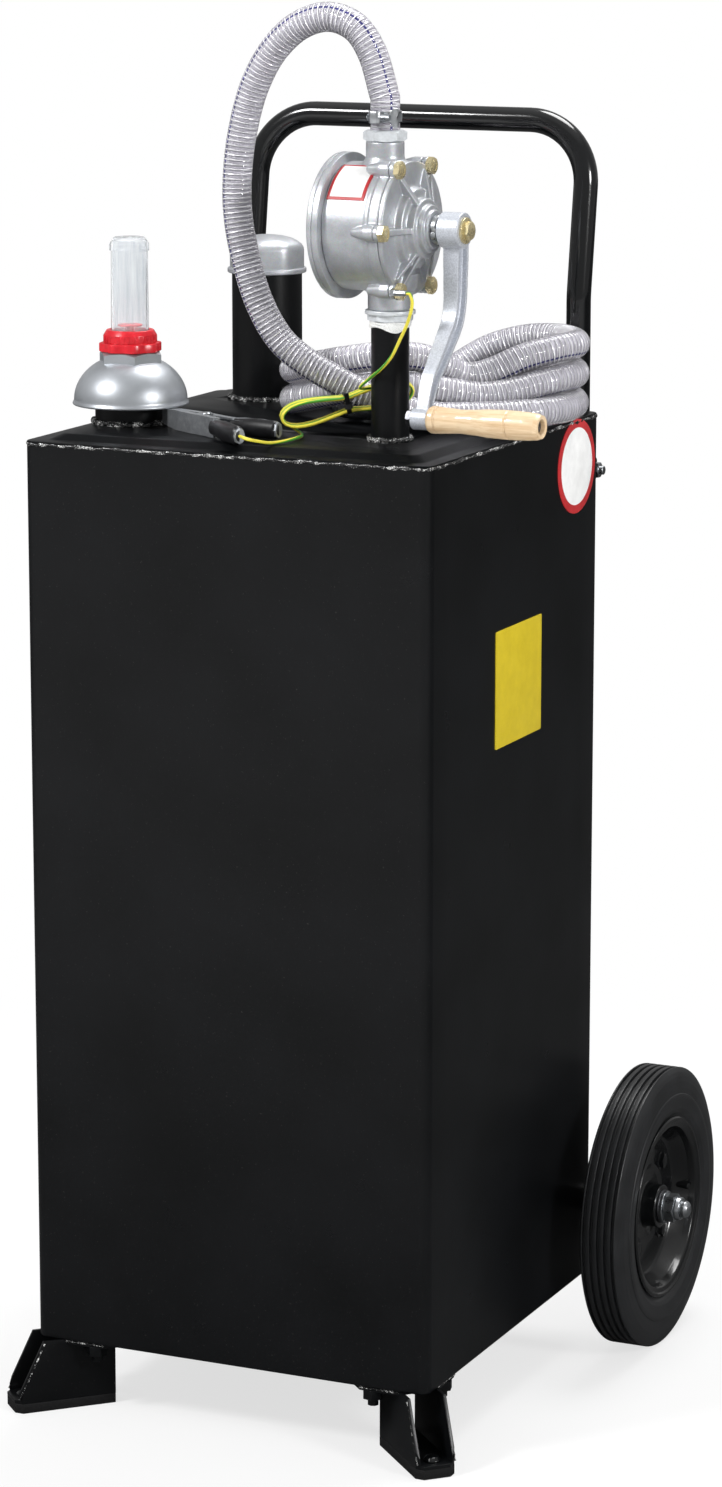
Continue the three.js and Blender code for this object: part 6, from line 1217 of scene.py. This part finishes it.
# Earth clamp: the CAD jaws with softened edges, dipped sleeves over their handles, and a rivet.
for name in ("clamp_jaw_near", "clamp_jaw_far"):
    weld = nodes[name].modifiers.new("weld", "WELD")
    weld.merge_threshold = 0.00001
    edge = nodes[name].modifiers.new("edge", "BEVEL")
    edge.width, edge.segments, edge.limit_method, edge.angle_limit = 0.0003, 2, "ANGLE", math.radians(40)
for side, name, reach, body, high in ((-1, "near", 84, "caddy", 8.4), (1, "far", 74, "clamp_far", 7.9)):
    spots = [(clampFrame["handle"] * a if i < 3 else reach, side * clampFrame["spread"] * b)
             for i, (a, b) in enumerate(clampFrame["sleeve"])]
    line = smoothRoute([Vector((x, y, 0)) for x, y in spots], 30)
    axes, rings = routeFrames(line, up), []
    for i, p in enumerate(line):
        part = i / 30
        size = 0.8 + 0.2 * ease(part * 2) - 0.05 * ease((part - 0.6) * 3) if part < 0.96 else 0.78 - (part - 0.96) * 6
        across = Vector((-axes[i][0].y, axes[i][0].x, 0)) * 6.5
        rings.append([clampPlace @ (p + (across * math.cos(a) + up * (high + 0.35) * math.sin(a)) * max(size, 0.3))
                      for a in turns(32)])
    bm = bmesh.new()
    loft(bm, rings)
    addPiece("clamp_sleeve_" + name, bm, blackVinyl, body=body, sharp=60)
bm = bmesh.new()
for turn in (0, math.pi):
    lathe(bm, fillet([(0, 8.4), (4.6, 8.4), (4.2, 9.4, 0.8), (0, 10)], 0.5, 4), 32, clampPlace @ spin(turn, "X"))
addPiece("clamp_rivet", bm, zincSteel, ())

# Bare plates on the right wall: a white oval with a red ring, and a yellow rectangle.
wallPlates = {"x": 189.2, "oval": (324, 762), "half": (44, 42), "ring": 7.5, "square": (193, 591), "side": 51.5}
onWall = toRight @ spin(quarter)
for name, inset, top, finish in (
        ("oval_plate_ring", 0, 1.4, redPlate), ("oval_plate", wallPlates["ring"], 1.55, whitePlate)):
    wide, high = (half - inset for half in wallPlates["half"])
    bm = bmesh.new()
    prism(bm, [(wide * math.cos(a), high * math.sin(a)) for a in turns(72)], 0.1, top, 0.15,
          shift(wallPlates["x"], *wallPlates["oval"]) @ onWall)
    addPiece(name, bm, finish, sharp=30)
side = wallPlates["side"]
bm = bmesh.new()
prism(bm, fillet([(-side, -side), (side, -side), (side, side), (-side, side)], 2, 5, True), 0.1, 1.3, 0.15,
      shift(wallPlates["x"], *wallPlates["square"]) @ onWall)
addPiece("yellow_plate", bm, yellowPlate, sharp=30)
print("plates made")

# Plain studio with three broad soft lamps. The eye, and what it sees through clear plastic, gets white; mirrored rays
# get a dimmer room and floor, because under white ones the black enamel turns grey. The floor keeps the shadow.
studio = {"fill": 0.55, "dark": 0.3, "wall": 0.36, "ceiling": 0.6, "towardWall": (-0.41, 0.91, 0), "floor": 30,
          "aim": (0, 0, 0.6),
          "lamps": [("keyLamp", (-2.3, -3.1, 3.8), 1.1, 170), ("sideLamp", (4.0, -1.4, 2.2), 0.9, 95),
                    ("topLamp", (0.4, 1.6, 4.4), 2.2, 120)]}
soft = {"interpolation_type": "SMOOTHSTEP"}
world = bpy.data.worlds.new("studio")
scene.world = world
world.use_nodes = True
tree, background = world.node_tree, world.node_tree.nodes["Background"]
add = partial(addNode, tree)
ray = add("LightPath", out=None)
away = add("TexCoord", out="Generated")
across = add("VectorMath", "DOT_PRODUCT", {0: away, 1: studio["towardWall"]}, "Value")
wall = add("MapRange", soft, {0: across, 1: 0.7, 2: 0.93, 3: studio["dark"], 4: studio["wall"]})
height = add("SeparateXYZ", {}, {0: away}, 2)
ceiling = add("MapRange", soft, {0: height, 1: 0.5, 2: 0.95, 3: 0.0, 4: studio["ceiling"]})
room = add("Math", "MAXIMUM", {0: wall, 1: ceiling})
gloss = add("Mix", {}, {0: ray["Is Glossy Ray"], 2: studio["fill"], 3: room})
clear = add("Math", "MAXIMUM", {0: ray["Is Camera Ray"], 1: ray["Is Transmission Ray"]})
power = add("Math", "MAXIMUM", {0: gloss, 1: clear})
tree.links.new(power, background.inputs["Strength"])
background.inputs["Color"].default_value = (1, 1, 1, 1)

# Pale floor paint: matt, whitening to pure white away from the object. In reflections the floor is painted darker, dark
# grey near and behind the object and pale towards the camera: a painted reflection.
floorFinish, add, shader, place = newFinish("paleFloor", None, Roughness=0.9, Specular_IOR_Level=0.1)
cloud = add("TexNoise", {}, {"Vector": place, "Scale": 1.5, "Detail": 2.0})
tone = add("ValToRGB", {"stops": [(0.3, "e9e9e9"), (0.7, "ededed")]}, {0: cloud})
ray = add("LightPath", out=None)
# the floor as reflections see it: painted dark grey near and behind the object, a painted reflection
ahead = add("SeparateXYZ", {}, {0: place}, 1)
reached = add("MapRange", {}, {0: ahead, 1: 0.5, 2: -4.5, 3: 0.0, 4: 1.0})
paintedReflectionTone = add("ValToRGB", {"stops": [(0.0, "484848"), (0.25, "6a6a6a"), (1.0, "f4f4f4")]}, {0: reached})
feed(shader, Base_Color=add("Mix", {"data_type": "RGBA"}, {0: ray["Is Glossy Ray"], 6: tone, 7: paintedReflectionTone}, 2))
seen = add("Math", "MAXIMUM", {0: ray["Is Camera Ray"], 1: ray["Is Transmission Ray"]})
far = add("VectorMath", "LENGTH", {0: place}, "Value")
spread = add("MapRange", soft, {0: far, 1: 0.4, 2: 1.3, 3: 0.7, 4: 1.0})
share = add("Math", "MULTIPLY", {0: seen, 1: spread})
shine = add("Emission", {}, {"Color": (1, 1, 1, 1), "Strength": 1.0})
both = add("MixShader", {}, {0: share, 1: shader.outputs[0], 2: shine})
shader.id_data.links.new(both, shader.id_data.nodes["Material Output"].inputs["Surface"])
reach = studio["floor"]
mesh = bpy.data.meshes.new("floor")
mesh.from_pydata([(-reach, -reach, 0), (reach, -reach, 0), (reach, reach, 0), (-reach, reach, 0)], [], [(0, 1, 2, 3)])
mesh.materials.append(floorFinish)
linkNew("floor", mesh)

for name, spot, width, watts in studio["lamps"]:
    lamp = linkNew(name, bpy.data.lights.new(name, "AREA"))
    lamp.data.shape, lamp.data.size, lamp.data.energy = "DISK", width, watts
    lamp.location = spot
    lamp.rotation_euler = (Vector(studio["aim"]) - Vector(spot)).to_track_quat("-Z", "Y").to_euler()
print("studio made")
